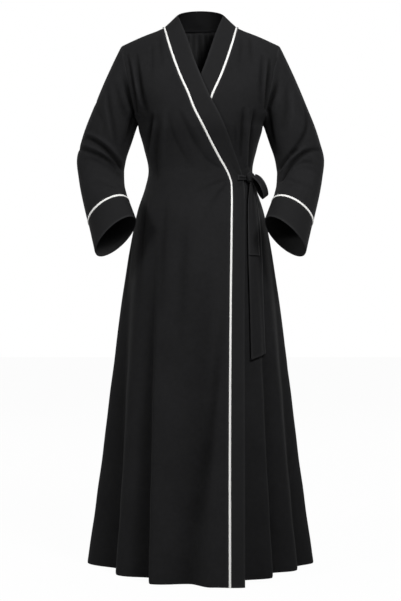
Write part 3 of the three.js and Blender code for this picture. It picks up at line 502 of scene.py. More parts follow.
def fold_push(folds, angle, z, column="depth", growth=FOLD_GROWTH):
    """Push outwards at an angle: half a cosine wave between each crest and the valley beside it,
    growing downwards as (share of the way to the hem)^growth. Any other column of the folds'
    table can be read in the same way."""
    angle, z = np.broadcast_arrays(np.asarray(angle, float), np.asarray(z, float))
    down = np.clip((FOLDS_SET_Z - z) / (FOLDS_SET_Z - HEM_Z), 0, 1)[..., None]
    angles = mix(folds["top"], folds["hem"], down)
    grown = np.clip((folds["start"] - z[..., None]) / (folds["start"] - HEM_Z), 0, 1)
    push = folds[column] * grown**growth
    after = np.clip((angles <= angle[..., None]).sum(-1), 1, angles.shape[-1] - 1)[..., None]
    low, high = (np.take_along_axis(angles, k, -1)[..., 0] for k in (after - 1, after))
    share = np.clip((angle - low) / (high - low), 0, 1)
    before, beyond = (np.take_along_axis(push, k, -1)[..., 0] for k in (after - 1, after))
    return mix(before, beyond, (1 - np.cos(np.pi * share)) / 2)


def valley_shade(folds, angle, z):
    """How dark the floors of the valleys between folds are: the depth times the wave between
    crest (0) and valley (1), to a power that keeps it near the lowest line."""
    floor = fold_push(folds, angle, z, column="valley", growth=VALLEY_GROWTH)
    return VALLEY_DEPTH * floor**VALLEY_NARROWS


# A row of the folds' tables is a valley where both its neighbours stand further out
for folds in (UPPER_FRONT_FOLDS, UNDER_FRONT_FOLDS, BACK_FOLDS):
    depth = folds["depth"]
    low = (depth[1:-1] < depth[:-2]) & (depth[1:-1] < depth[2:])
    folds["valley"] = np.concatenate([[0.0], low, [0.0]])


def under_sink(x, z):
    """The under front lies inside the band's free edge, and comes out before its side seam and
    above the place where the two fronts cross."""
    edge = edge_x_at_level(z)
    away = smooth(-x, edge, edge + SINK_FADE * (half_width(z) - edge))
    return OVERLAP_SINK * (1 - away) * (1 - smooth(z, *SINK_ENDS))


def no_sink(x, z):
    """A layer that lies at its own depth: nothing everywhere."""
    return np.zeros(np.broadcast(x, z).shape)


UPPER_FRONT = {"folds": UPPER_FRONT_FOLDS, "sink": no_sink}
UNDER_FRONT = {"folds": UNDER_FRONT_FOLDS, "sink": under_sink}
BACK = {"folds": BACK_FOLDS, "sink": no_sink}


def at_angle(layer, angle, z):
    """Points of a layer at angles in degrees from the middle of the front: x = W sin(a) and
    y = -D cos(a) times the parting, then pushed straight away from the axis by the folds."""
    angle, z = np.broadcast_arrays(np.asarray(angle, float), np.asarray(z, float))
    turn = np.radians(angle)
    at_back = np.cos(turn) < 0
    x = half_width(z) * np.sin(turn)
    depth = np.where(at_back, back_depth(z), front_depth(z))
    y = -depth * np.cos(turn) * parting(x, z, at_back)
    away = np.maximum(np.hypot(x, y), 1e-6)
    grow = 1 + (fold_push(layer["folds"], angle, z) - layer["sink"](x, z)) / away
    return np.stack([x * grow, y * grow, z], -1)


def bare_angle(x, z):
    """The angle of an x on the plain section, without folds: the arc sine of x / W."""
    return np.degrees(np.arcsin(np.clip(x / half_width(z), -1, 1)))


def angle_at_x(layer, x, z):
    """The angle of the place on a front that has a given x. Each pass adds a share of what is
    still missing in x."""
    bare = np.array(x, float)
    for _ in range(ANGLE_PASSES):
        bare = bare + ANGLE_DAMPING * (x - at_angle(layer, bare_angle(bare, z), z)[..., 0])
    return bare_angle(bare, z)


def on_front(layer, x, z):
    """The point of a front's layer at a given x and z."""
    x, z = np.broadcast_arrays(np.asarray(x, float), np.asarray(z, float))
    return at_angle(layer, angle_at_x(layer, x, z), z)


def on_back(x, z):
    """The point of the back at about a given x, and at z: the plain section's angle from behind."""
    return at_angle(BACK, 180 - bare_angle(x, z), z)


def on_upper_front(x, z):
    """The point of the upper front at a given x and z."""
    return on_front(UPPER_FRONT, x, z)


def on_under_front(x, z):
    """The point of the under front at a given x and z, as drawn at -X."""
    return on_front(UNDER_FRONT, x, z)


def grid_normals(points, facing, ring=False):
    """Unit normals of a grid: the cross product of the steps between its neighbours along both
    ways, on the side of `facing`."""
    if ring:
        along = np.roll(points, -1, 1) - np.roll(points, 1, 1)
    else:
        along = np.gradient(points, axis=1)
    normals = unit(np.cross(along, np.gradient(points, axis=0)))
    return normals * np.sign((normals * facing).sum())


def shares(count, ends=PANEL_ENDS):
    """Even shares from 0 to 1, with a few more close to both ends, where seams roll in."""
    more = np.array(ends)
    return np.unique(np.concatenate([np.linspace(0, 1, count), more, 1 - more]))


def creased(points, normals, creases, place):
    """Points moved against their normals by depth exp(-(distance / half width)^2) of each crease,
    and how far each was moved. A crease's depth goes along its length as the curve through its
    start, middle and end, and past its ends it rounds off. `place` gives the surface's point at a
    crease's u and v."""
    moved = np.zeros(points.shape[:2])
    t = np.linspace(0, 1, CREASE_POINTS)
    for k in range(len(creases["u0"])):
        c = {name: column[k] for name, column in creases.items()}
        arc = 4 * t * (1 - t)
        line = place(
            mix(c["u0"], c["u1"], t) + arc * c["bow_u"], mix(c["v0"], c["v1"], t) + arc * c["bow_v"]
        )
        margin = CREASE_MARGIN * max(c["width0"], c["width1"])
        low, high = line.min(0) - margin, line.max(0) + margin
        near = np.all((points > low) & (points < high), axis=-1)
        if not near.any():
            continue
        spots = points[near][:, None, :]
        chords = line[1:] - line[:-1]
        along = ((spots - line[:-1]) * chords).sum(-1) / (chords**2).sum(-1)
        feet = line[:-1] + chords * np.clip(along, 0, 1)[..., None]
        gaps = np.linalg.norm(spots - feet, axis=-1)
        nearest = gaps.argmin(1)
        pick = np.arange(len(nearest))
        share = (nearest + np.clip(along[pick, nearest], 0, 1)) / len(chords)
        width = mix(c["width0"], c["width1"], share)
        depth = (
            c["start"] * (1 - share) * (1 - 2 * share)
            + c["middle"] * 4 * share * (1 - share)
            + c["end"] * share * (2 * share - 1)
        )
        moved[near] += depth * np.exp(-((gaps[pick, nearest] / width) ** 2))
    return points - normals * moved[..., None], moved


def rippled(points, normals, height=1.0):
    """Points moved along their normals by a sum of sine waves, each of the way along its heading:
    (x + share of y) cos(heading) + share of z sin(heading)."""
    headings = np.radians(RIPPLES["heading"])
    flat = points[..., 0] + RIPPLE_DEPTHWAYS * points[..., 1]
    total = np.zeros(points.shape[:2])
    for k, heading in enumerate(headings):
        way = flat * np.cos(heading) + points[..., 2] * np.sin(heading) * RIPPLE_UPWAYS
        total += RIPPLES["height"][k] * np.sin(
            2 * np.pi * way / RIPPLES["length"][k] + RIPPLES["phase"][k]
        )
    return points + normals * (total * height)[..., None]


def arc_lengths(points, axis):
    """Lengths along the grid from its first row or column: the sums of the steps so far."""
    steps = np.linalg.norm(np.diff(points, axis=axis), axis=-1)
    start = np.zeros_like(np.take(steps, [0], axis))
    return np.concatenate([start, np.cumsum(steps, axis)], axis)


def rolled(
    points, normals, columns=(True, True), rows=(True, True), depth=ROLL_DEPTH, reach=ROLL_REACH
):
    """Edges roll inwards by depth exp(-(distance from the edge / reach)^2), as cloth turned under
    at a seam or hem does."""
    across, up = arc_lengths(points, 1), arc_lengths(points, 0)
    gaps = (across, across[:, -1:] - across, up, up[-1:] - up)
    inwards = np.zeros(points.shape[:2])
    for wanted, gap in zip((*columns, *rows), gaps):
        if wanted:
            inwards = np.maximum(inwards, depth * np.exp(-((gap / reach) ** 2)))
    return points - normals * inwards[..., None]


# Rows of the fronts and the back from hem to shoulder: `up` goes from 0 at the underarm to 1
SKIRT_SEAM_Z = mix(HEM_Z, FOLDS_SET_Z, shares(SKIRT_ROWS, SKIRT_ENDS))
WAIST_SEAM_Z = mix(FOLDS_SET_Z, UNDERARM_SEAM_Z, np.linspace(0, 1, WAIST_ROWS)[1:])
LOW_SEAM_Z = np.concatenate([SKIRT_SEAM_Z, WAIST_SEAM_Z])
HIGH_UP = (1 - np.cos(np.pi * np.arange(1, ARMHOLE_STEPS + 1) / ARMHOLE_STEPS)) / 2
SEAM_Z = np.concatenate([LOW_SEAM_Z, mix(UNDERARM_SEAM_Z, 0, HIGH_UP)])
UP = np.concatenate([np.zeros(len(LOW_SEAM_Z)), HIGH_UP])
SIDE_Z = np.where(UP > 0, mix(UNDERARM_Z, SHOULDER_TIP_Z, UP), side_z(SEAM_Z))
LOW = len(LOW_SEAM_Z)


def tuck(z):
    """How far in the under front's seam lies, as a share of its x: 1 on the chest, eased to its
    least below the waist."""
    return mix(1, TUCK_LEAST, smooth(-z, TUCK_FROM, TUCK_TO))


def no_tuck(z):
    """The upper front's seam lies at its own x: 1 everywhere."""
    return np.ones_like(z)


def front_strip(layer, tucking, across):
    """Piping and band from the panel's seam (0) to the free edge (1) at each row. On the chest the
    points lie on the front, and higher up on the straight line to the collar's edge."""
    share = np.where(seam_x(SEAM_Z) > 0, tucking(SEAM_Z), 1)
    start_x = seam_x(SEAM_Z) * share
    end_x = start_x + edge_x(SEAM_Z) - seam_x(SEAM_Z)
    end_z = edge_z(SEAM_Z)
    standing = smooth(SEAM_Z, *COLLAR_STANDS)
    seam = on_front(layer, start_x, SEAM_Z)
    edge = on_front(layer, end_x, end_z)
    edge[:, 1] = mix(edge[:, 1], collar_edge_y(SEAM_Z), standing)
    across = across_shares(seam, edge, across)
    cloth = on_front(
        layer,
        mix(start_x[:, None], end_x[:, None], across),
        mix(SEAM_Z[:, None], end_z[:, None], across),
    )
    chord = mix(seam[:, None], edge[:, None], across[..., None])
    return mix(cloth, chord, standing[:, None, None])


def neck_strip(across):
    """The same strip on round the back of the neck, as far as its centre."""
    turn = np.linspace(0, np.pi / 2, NECK_STEPS + 1)[1:]
    seam = neck_seam(turn)
    edge = np.stack(
        [
            -COLLAR_SIDE[0] * np.cos(turn),
            mix(COLLAR_SIDE[1], COLLAR_BACK_Y, np.sin(turn)),
            mix(COLLAR_SIDE[2], COLLAR_BACK_Z, np.sin(turn)),
        ],
        -1,
    )
    across = across_shares(seam, edge, across)
    return mix(seam[:, None], edge[:, None], across[..., None])


def neck_seam(turn):
    """The back's neck seam: x goes as the cosine of the turn and the rise as its sine."""
    return on_back(-NECK_SIDE_X * np.cos(turn), NECK_BACK_Z * np.sin(turn))


def across_shares(seam, edge, across):
    """Shares over the strip's width. Values from 0 to 1 lie in the band past the piping, and those
    from -1 to 0 in the piping, which is PIPING wide."""
    piped = (PIPING / np.linalg.norm(edge - seam, axis=-1))[:, None]
    return np.where(across < 0, (across + 1) * piped, piped + across * (1 - piped))


def strip(layer, tucking, across):
    """The whole strip, up the front edge and on round the neck."""
    return np.concatenate([front_strip(layer, tucking, across), neck_strip(across)])


def front_points(layer, seam):
    """A front panel, and the depth of its valleys' shade. Below the underarm its columns run from
    the side seam to the band's seam by angle; above it they fan out so that the top row lies along
    the shoulder seam."""
    s = shares(FRONT_COLUMNS)
    low_seam = seam[:LOW]
    seam_angle = angle_at_x(layer, low_seam[:, 0], low_seam[:, 2])
    angle = mix(-90, seam_angle[:, None], s)
    level = mix(SIDE_Z[:LOW, None], low_seam[:, 2:3], s)
    low = at_angle(layer, angle, level)
    first = low[-1]
    up = HIGH_UP[:, None]
    share_x = mix((first[:, 0] - first[0, 0]) / (first[-1, 0] - first[0, 0]), s, up)
    share_z = mix((first[:, 2] - first[0, 2]) / (first[-1, 2] - first[0, 2]), s, up)
    high_seam = seam[LOW : LOW + ARMHOLE_STEPS]
    armhole_x = mix(-UNDERARM_X, -SHOULDER_TIP_X, HIGH_UP)[:, None]
    high = on_front(
        layer,
        mix(armhole_x, high_seam[:, :1], share_x),
        mix(SIDE_Z[LOW:, None], high_seam[:, 2:3], share_z),
    )
    points = np.concatenate([low, high])
    points[:, -1] = seam[: len(points)]
    shade = np.zeros(points.shape[:2])
    shade[:LOW] = valley_shade(layer["folds"], angle, level)
    return points, shade


def back_points():
    """The back, from the side seam at +X round to the one at -X. Its top row follows the shoulder
    seams and, between them, the neck seam."""
    s = shares(BACK_COLUMNS)
    low = at_angle(BACK, mix(90, 270, s), SIDE_Z[:LOW, None])
    from_end = np.minimum(s, 1 - s)
    side = np.where(s < 0.5, 1.0, -1.0)
    shoulder_x = mix(SHOULDER_TIP_X, NECK_SIDE_X, np.clip(from_end / NECK_START, 0, 1))
    shoulder = np.stack([shoulder_x, 0 * shoulder_x, shoulder_z(shoulder_x)], -1)
    turn = np.pi / 2 * np.clip((from_end - NECK_START) / (0.5 - NECK_START), 0, 1)
    top = np.where((from_end < NECK_START)[:, None], shoulder, mirrored(neck_seam(turn)))
    top[:, 0] *= side
    share = HIGH_UP[:-1, None]
    high = on_back(mix(low[-1][:, 0], top[:, 0], share), mix(low[-1][:, 2], top[:, 2], share))
    return np.concatenate([low, high, top[None]])


sleeve_curves = {name: curve(SLEEVE, "ring", name) for name in SLEEVE}


def sleeve_frame(ring):
    """Centre and the two half axes of the sleeve's rings, read from their curves."""
    read = {name: column(ring) for name, column in sleeve_curves.items()}
    zero = np.zeros_like(read["x"])
    return (
        np.stack([read["x"], read["y"], read["z"]], -1),
        np.stack([read["out_x"], zero, read["out_z"]], -1),
        np.stack([read["fore_x"], read["fore_y"], read["fore_z"]], -1),
    )


def on_sleeve(ring, turn):
    """Centre + out cos(turn) + fore sin(turn), with the turn in degrees."""
    ring, turn = np.broadcast_arrays(np.asarray(ring, float), np.asarray(turn, float))
    centre, out, fore = sleeve_frame(ring)
    turn = np.radians(turn)[..., None]
    return centre + out * np.cos(turn) + fore * np.sin(turn)


RING_TURNS = 180 * np.arange(2 * ARMHOLE_STEPS) / ARMHOLE_STEPS


def sleeve_points(front_edge, back_edge):
    """The sleeve from the armhole to the cuff's seam. The armhole's outline, read off the front and
    the back, eases into plain rings as (1 - ring / fade ring)^2."""
    armhole = np.concatenate([front_edge[LOW - 1 :][::-1], back_edge[LOW:-1]])
    rings = CUFF_SEAM_RING * shares(SLEEVE_ROWS, SLEEVE_ENDS)[:, None]
    points = on_sleeve(rings, RING_TURNS)
    own = np.clip(1 - rings / ARMHOLE_FADE_RING, 0, 1)[..., None] ** 2
    return points + own * (armhole - on_sleeve(0, RING_TURNS))


def ring_axis(ring):
    """The way down the arm at a ring: the cross product of its two half axes, turned down."""
    _, out, fore = sleeve_frame(np.asarray(ring, float))
    axis = unit(np.cross(out, fore))
    return axis * -np.sign(axis[..., 2:3])


def cuff_points(first, last, rows):
    """A stretch of the cuff between two places, each a ring and a step along the arm from it, and
    its directions away from the arm's middle."""
    share = shares(rows, CUFF_ENDS)[:, None]
    ring = mix(first[0], last[0], share)
    step = mix(first[1], last[1], share)[..., None]
    points = on_sleeve(ring, RING_TURNS) + ring_axis(ring) * step
    return points, points - sleeve_frame(ring + 0 * RING_TURNS)[0]


def add_grid(name, points, looks, facing, ring=False, wall=None, weld=False, moved=None):
    """Makes a mesh from a grid of points in millimetres: quads between neighbours, turned to face
    `facing`. Its UV map measures the cloth in metres, across and up, its `edge` attribute is 1 at
    the seams and edges and fades inwards, and its `crease` attribute, which the materials turn into
    painted shade, grows with `moved`: the depth that each point was moved by, plus any painted
    shade of valley floors and grooves, or less where gathers get a painted highlight. `looks` are
    the materials of its outer face and of its inner face."""
    rows, columns = points.shape[:2]
    i, j = np.meshgrid(
        np.arange(rows - 1), np.arange(columns if ring else columns - 1), indexing="ij"
    )
    after = (j + 1) % columns
    corners = np.stack(
        [i * columns + j, i * columns + after, (i + 1) * columns + after, (i + 1) * columns + j], -1
    ).reshape(-1, 4)
    flat = points.reshape(-1, 3)
    one, two, three, four = (flat[corners[:, k]] for k in range(4))
    normal = np.cross(three - one, four - two)
    outwards = np.broadcast_to(facing, points.shape).reshape(-1, 3)[corners[:, 0]]
    turned = (normal * outwards).sum() < 0
    if turned:
        corners = corners[:, ::-1]
    mesh = bpy.data.meshes.new(name)
    mesh.vertices.add(len(flat))
    mesh.vertices.foreach_set("co", (flat * MM).ravel())
    mesh.loops.add(corners.size)
    mesh.loops.foreach_set("vertex_index", corners.ravel())
    mesh.polygons.add(len(corners))
    mesh.polygons.foreach_set("loop_start", np.arange(0, corners.size, 4))
    mesh.update(calc_edges=True)
    mesh.shade_smooth()
    across, up = arc_lengths(points, 1), arc_lengths(points, 0)
    closing = np.linalg.norm(points[:, :1] - points[:, -1:], axis=-1)
    wide = np.concatenate([across, across[:, -1:] + closing], 1)
    tall = np.concatenate([up, up[:, :1]], 1)
    place = [i * (columns + 1) + j, i * (columns + 1) + j + 1]
    place = [*place, place[1] + columns + 1, place[0] + columns + 1]
    order = np.stack(place, -1).reshape(-1, 4)
    if turned:
        order = order[:, ::-1]
    measured = np.stack([wide, tall], -1).reshape(-1, 2)[order.ravel()] * MM
    mesh.uv_layers.new(name="cloth").data.foreach_set("uv", measured.ravel())
    gap = np.minimum(up, up[-1:] - up)
    if not ring:
        gap = np.minimum(gap, np.minimum(across, across[:, -1:] - across))
    edge = mesh.attributes.new("edge", "FLOAT", "POINT")
    edge.data.foreach_set("value", np.exp(-((gap / EDGE_REACH) ** 2)).ravel())
    # Painted shade: the crease attribute darkens the colour in creases, valleys and grooves, and
    # lightens it as a painted highlight where it is below zero
    if moved is not None:
        crease = mesh.attributes.new("crease", "FLOAT", "POINT")
        crease.data.foreach_set("value", np.clip(moved / CREASE_FULL, -1, 1).ravel())
    for look in looks:
        mesh.materials.append(look)
    piece = bpy.data.objects.new(name, mesh)
    bpy.context.scene.collection.objects.link(piece)
    if weld:
        joined = piece.modifiers.new("weld", "WELD")
        joined.merge_threshold = WELD_REACH
    if wall:
        solid = piece.modifiers.new("wall", "SOLIDIFY")
        solid.thickness = wall * MM
        solid.offset = -1
        solid.material_offset = 1
    return piece


def from_axis(points):
    """Directions away from the dress's upright axis: x and y as they are, and no z."""
    return points * np.array([1.0, 1.0, 0.0])


# Materials


def group(name, inputs, outputs):
    """An empty node group with its named inputs and outputs."""
    tree = bpy.data.node_groups.new(name, "ShaderNodeTree")
    for label, kind, value in inputs:
        socket = tree.interface.new_socket(label, in_out="INPUT", socket_type=kind)
        if value is not None:
            socket.default_value = value
    for label, kind in outputs:
        tree.interface.new_socket(label, in_out="OUTPUT", socket_type=kind)
    return tree, tree.nodes.new("NodeGroupInput"), tree.nodes.new("NodeGroupOutput")


def node(tree, kind, settings=None, **values):
    """A node with its settings and its sockets' values or links; sockets are named with _ for a
    space, and one given as a tuple (node, output) is linked."""
    made = tree.nodes.new(kind)
    for key, value in (settings or {}).items():
        setattr(made, key, value)
    for key, value in values.items():
        socket = made.inputs[int(key[1:]) if key[1:].isdigit() else key.replace("_", " ")]
        if isinstance(value, tuple) and hasattr(value[0], "outputs"):
            tree.links.new(value[0].outputs[value[1]], socket)
        else:
            socket.default_value = value
    return made


def math(tree, operation, *values):
    """A sum, product or other figure of its inputs."""
    inputs = {f"s{number}": value for number, value in enumerate(values)}
    return node(tree, "ShaderNodeMath", {"operation": operation}, **inputs)


def noise(tree, place, scale, detail, roughness):
    """Noise that is fixed in the piece, `scale` grains to a metre."""
    return node(
        tree,
        "ShaderNodeTexNoise",
        Vector=(place, "Object"),
        Scale=scale,
        Detail=detail,
        Roughness=roughness,
    )


def weave_group():
    """Two sets of threads crossing, each a row of round ridges: |sin| of the cloth's own width and
    length at the threads' pitch, the higher one on top, roughened by fine grain."""
    tree, given, made = group(
        "weave",
        [("Pitch", "NodeSocketFloat", 0.0006), ("Grain", "NodeSocketFloat", 0.5)],
        [("Height", "NodeSocketFloat")],
    )
    place = node(tree, "ShaderNodeUVMap", {"uv_map": "cloth"})
    apart = node(tree, "ShaderNodeSeparateXYZ", Vector=(place, 0))
    ridges = []
    for axis in (0, 1):
        count = math(tree, "DIVIDE", (apart, axis), (given, "Pitch"))
        wave = math(tree, "SINE", (math(tree, "MULTIPLY", (count, 0), np.pi), 0))
        ridges.append(math(tree, "ABSOLUTE", (wave, 0)))
    threads = math(tree, "MAXIMUM", (ridges[0], 0), (ridges[1], 0))
    solid = node(tree, "ShaderNodeTexCoord")
    fine = noise(tree, solid, 900.0, 2.0, 0.6)
    grain = math(tree, "MULTIPLY", (fine, 0), (given, "Grain"))
    total = math(tree, "ADD", (threads, 0), (grain, 0))
    tree.links.new(total.outputs[0], made.inputs["Height"])
    return tree


# Two noises of mean one half are added, and their spread round 1 is multiplied by the gain. Lint
# shows in cells of this size where the slow noise is above its limit
NOISE_GAIN, LINT_SIZE, LINT_ABOVE = 2.0, 0.06, 0.56
WORN_SMOOTHER, ROUGHNESS_VARIES = 0.5, 0.25


def mottle_group():
    """A colour times 1 + slow and quick noise + wear of the seams and pressed edges - painted shade
    of the creases and valleys + sparse specks of lint; where the crease attribute is below zero the
    painted shade turns into a painted highlight. Worn edges are smoother, and noise varies the
    roughness."""
    tree, given, made = group(
        "mottle",
        [
            ("Color", "NodeSocketColor", (0.5, 0.5, 0.5, 1)),
            ("Variation", "NodeSocketFloat", 0.2),
            ("Edge Wear", "NodeSocketFloat", 0.3),
            ("Roughness", "NodeSocketFloat", 0.9),
            ("Lint", "NodeSocketFloat", 0.5),
        ],
        [("Color", "NodeSocketColor"), ("Roughness", "NodeSocketFloat")],
    )
    solid = node(tree, "ShaderNodeTexCoord")
    slow = noise(tree, solid, 9.0, 3.0, 0.55)
    quick = noise(tree, solid, 90.0, 3.0, 0.6)
    both = math(tree, "ADD", (slow, 0), (quick, 0))
    centred = math(tree, "MULTIPLY_ADD", (both, 0), NOISE_GAIN, -NOISE_GAIN)
    varied = math(tree, "MULTIPLY", (centred, 0), (given, "Variation"))
    edge = node(tree, "ShaderNodeAttribute", {"attribute_name": "edge"})
    worn = math(tree, "MULTIPLY", (edge, "Fac"), (given, "Edge Wear"))
    # Painted shade: the crease attribute darkens the colour in crease troughs and valley floors,
    # and lightens it as a painted highlight where it is below zero
    crease = node(tree, "ShaderNodeAttribute", {"attribute_name": "crease"})
    painted_shade_and_highlight = math(tree, "MULTIPLY_ADD", (crease, "Fac"), -CREASE_DARK, 1.0)
    total = math(tree, "ADD", (math(tree, "ADD", (varied, 0), (worn, 0)), 0), (painted_shade_and_highlight, 0))
    specks = node(
        tree, "ShaderNodeTexVoronoi", Vector=(solid, "Object"), Scale=120.0, Randomness=1.0
    )
    small = node(
        tree,
        "ShaderNodeMapRange",
        Value=(specks, "Distance"),
        From_Min=LINT_SIZE / 2,
        From_Max=LINT_SIZE,
        To_Min=1.0,
        To_Max=0.0,
    )
    rare = math(tree, "GREATER_THAN", (slow, 0), LINT_ABOVE)
    shown = math(tree, "MULTIPLY", (small, 0), (rare, 0))
    lint = math(tree, "MULTIPLY", (shown, 0), (given, "Lint"))
    bright = math(tree, "ADD", (total, 0), (lint, 0))
    scale = {"operation": "SCALE"}
    tint = node(tree, "ShaderNodeVectorMath", scale, s0=(given, "Color"), Scale=(bright, 0))
    tree.links.new(tint.outputs[0], made.inputs["Color"])
    rough = math(tree, "MULTIPLY_ADD", (worn, 0), -WORN_SMOOTHER, (given, "Roughness"))
    uneven = math(tree, "MULTIPLY_ADD", (varied, 0), ROUGHNESS_VARIES, (rough, 0))
    tree.links.new(uneven.outputs[0], made.inputs["Roughness"])
    return tree


WEAVE, MOTTLE = weave_group(), mottle_group()
SHEEN_ROUGHNESS = 0.45


def cloth_material(
    name, color, variation, wear, roughness, lint, pitch, grain, relief, sheen, specular
):
    """A cloth: the mottled colour and roughness, and the weave's height as a bump of `relief`
    metres. Sheen and specular are the same all over."""
    material = bpy.data.materials.new(name)
    material.use_nodes = True
    tree = material.node_tree
    shader = tree.nodes["Principled BSDF"]
    shader.inputs["Sheen Weight"].default_value = sheen
    shader.inputs["Sheen Roughness"].default_value = SHEEN_ROUGHNESS
    shader.inputs["Specular IOR Level"].default_value = specular
    tone = node(
        tree,
        "ShaderNodeGroup",
        {"node_tree": MOTTLE},
        Color=(*color, 1.0),
        Variation=variation,
        Edge_Wear=wear,
        Roughness=roughness,
        Lint=lint,
    )
    threads = node(tree, "ShaderNodeGroup", {"node_tree": WEAVE}, Pitch=pitch, Grain=grain)
    bump = node(tree, "ShaderNodeBump", Height=(threads, 0), Distance=relief, Strength=1.0)
    tree.links.new(tone.outputs["Color"], shader.inputs["Base Color"])
    tree.links.new(tone.outputs["Roughness"], shader.inputs["Roughness"])
    tree.links.new(bump.outputs[0], shader.inputs["Normal"])
    return material


# What the crepes share outside, and what the inner faces' copies of the crepe share; these copies
# are lighter, for painted light, on the body, sleeves and cuffs, and darker, for painted shade, on
# the bands
OUTSIDE = {"pitch": 0.0007, "grain": 0.9, "sheen": 0.02, "specular": 0.1}
INSIDE = {
    "variation": 0.16,
    "wear": 0.2,
    "roughness": 0.95,
    "lint": 0.2,
    "pitch": 0.0007,
    "grain": 0.9,
    "sheen": 0.0,
    "specular": 0.05,
}

crepe = cloth_material(
    "black_crepe",
    (0.0125, 0.0125, 0.0132),
    variation=0.3,
    wear=0.35,
    roughness=0.86,
    lint=0.35,
    relief=0.00012,
    **OUTSIDE,
)
band_crepe = cloth_material(
    "pressed_crepe",
    (0.0122, 0.0122, 0.0128),
    variation=0.2,
    wear=0.5,
    roughness=0.82,
    lint=0.3,
    relief=0.0001,
    **OUTSIDE,
)
# Painted light: the body's and sleeves' inner faces get lighter copies of the crepe, standing in
# for light that reaches inside. Painted shade: the bands' inner faces get a darker copy.
crepe_inside_painted_light = cloth_material("crepe_inside_painted_light", (0.034, 0.034, 0.035), relief=0.00012, **INSIDE)
sleeve_inside_painted_light = cloth_material("sleeve_inside_painted_light", (0.02, 0.02, 0.0205), relief=0.00012, **INSIDE)
band_inside_painted_shade = cloth_material("crepe_band_inside_painted_shade", (0.0078, 0.0078, 0.0082), relief=0.0001, **INSIDE)
satin = cloth_material(
    "white_satin",
    (0.86, 0.855, 0.83),
    variation=0.04,
    wear=0.05,
    roughness=0.42,
    lint=0.0,
    pitch=0.0004,
    grain=0.2,
    relief=0.00004,
    sheen=0.1,
    specular=0.4,
)


# Pieces of the garment


# For each kind of piece: its slot, and the materials of its outer and its inner face; the crepe's
# inner faces are painted light on the body, sleeves and cuffs, and painted shade on the bands
LOOKS = {
    "body": ("body_cloth", crepe, crepe_inside_painted_light),
    "sleeve": ("body_cloth", crepe, sleeve_inside_painted_light),
    "band": ("band_cloth", band_crepe, band_inside_painted_shade),
    "cuff": ("band_cloth", band_crepe, sleeve_inside_painted_light),
    "piping": ("piping", satin, satin),
}


def dress_piece(
    name,
    points,
    look,
    facing,
    wall,
    ring=False,
    moved=None,
):
    """A cloth piece that stands for the CAD node of its name."""
    slot, *sides = LOOKS[look]
    piece = add_grid(f"{name}_cloth", points, sides, facing, ring=ring, wall=wall, moved=moved)
    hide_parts(name)
    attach(piece, "root")
    return piece


# Columns of the band, which runs on under the piping, and of the piping
BAND_ACROSS = np.concatenate([[-1.12, -1.0, -0.5, -0.03], shares(BAND_COLUMNS, BAND_ENDS)])
PIPING_ACROSS = np.linspace(-1.05, -0.001, PIPING_COLUMNS)


def piping_swell(count):
    """Height of flat piping over its width: a sine to a power, for a low round top, less the depth
    that its edges are sunk."""
    return PIPING_HEIGHT * np.sin(np.pi * np.linspace(0, 1, count)) ** PIPING_ROUND - PIPING_SUNK


def band_sink(points):
    """How far the band lies in: wholly under the piping, and where it comes out of it
    depth exp(-(distance / reach)^2)."""
    first = np.flatnonzero(BAND_ACROSS >= 0)[0]
    gap = np.linalg.norm(points - points[:, first : first + 1], axis=-1)
    rolled_in = PRESSED_ROLL["depth"] * np.exp(-((gap / PRESSED_ROLL["reach"]) ** 2))
    return np.where(BAND_ACROSS < 0, UNDER_PIPING, rolled_in)


def strip_normals(points):
    """Normals of a strip that starts on the front and goes on round the neck."""
    return grid_normals(points, np.array([0, -1.0, 0]) * (points[..., 1:2] < 0))


def front_pieces(side, layer, tucking, creases, drags, place, at):
    """A front panel with its piping and band. Creases and waves of the panel are multiplied by
    1 - calm exp(-(distance from the band's seam / reach)^2). Gives back the panel's edge at the
    armhole, and the points and normals of the band round the neck."""
    band = strip(layer, tucking, BAND_ACROSS[None])
    seam = strip(layer, tucking, np.array([[-1.0]]))[:, 0]
    panel, shade = front_points(layer, seam)
    normals = grid_normals(panel, from_axis(panel))
    calm = 1 - SEAM_CALM * np.exp(-(((panel[..., 0] - panel[:, -1:, 0]) / CALM_REACH) ** 2))
    soft, moved = creased(panel, normals, creases, at)
    soft = rippled(soft, normals, calm)
    soft = rolled(mix(panel, soft, calm[..., None]), normals)
    dress_piece(
        f"{side}_front_panel",
        place(soft),
        "body",
        from_axis(place(soft)),
        CLOTH,
        moved=moved * calm + shade,
    )
    piped = strip(layer, tucking, PIPING_ACROSS[None])
    piped_normals = strip_normals(piped)
    piped = piped + piped_normals * piping_swell(piped.shape[1])[None, :, None]
    piping = dress_piece(
        f"{side}_band_piping", place(piped), "piping", place(piped_normals), PIPING_WALL
    )
    normals = strip_normals(band)
    band = band - normals * band_sink(band)[..., None]
    band, moved = creased(band, normals, drags, at)
    shoulder = len(SEAM_Z)
    front = rolled(band[:shoulder], normals[:shoulder], columns=(False, True), **PRESSED_ROLL)
    dress_piece(
        f"{side}_band",
        place(front),
        "band",
        place(normals[:shoulder]),
        DOUBLED,
        moved=moved[:shoulder],
    )
    return soft[:, 0], place(band[shoulder - 1 :]), place(normals[shoulder - 1 :])


def as_drawn(points):
    """The points where they are."""
    return points


right_edge, *right_neck = front_pieces(
    "right",
    UPPER_FRONT,
    no_tuck,
    RIGHT_FRONT_CREASES,
    RIGHT_BAND_CREASES,
    as_drawn,
    on_upper_front,
)
left_edge, *left_neck = front_pieces(
    "left",
    UNDER_FRONT,
    tuck,
    LEFT_FRONT_CREASES,
    LEFT_BAND_CREASES,
    mirrored,
    on_under_front,
)

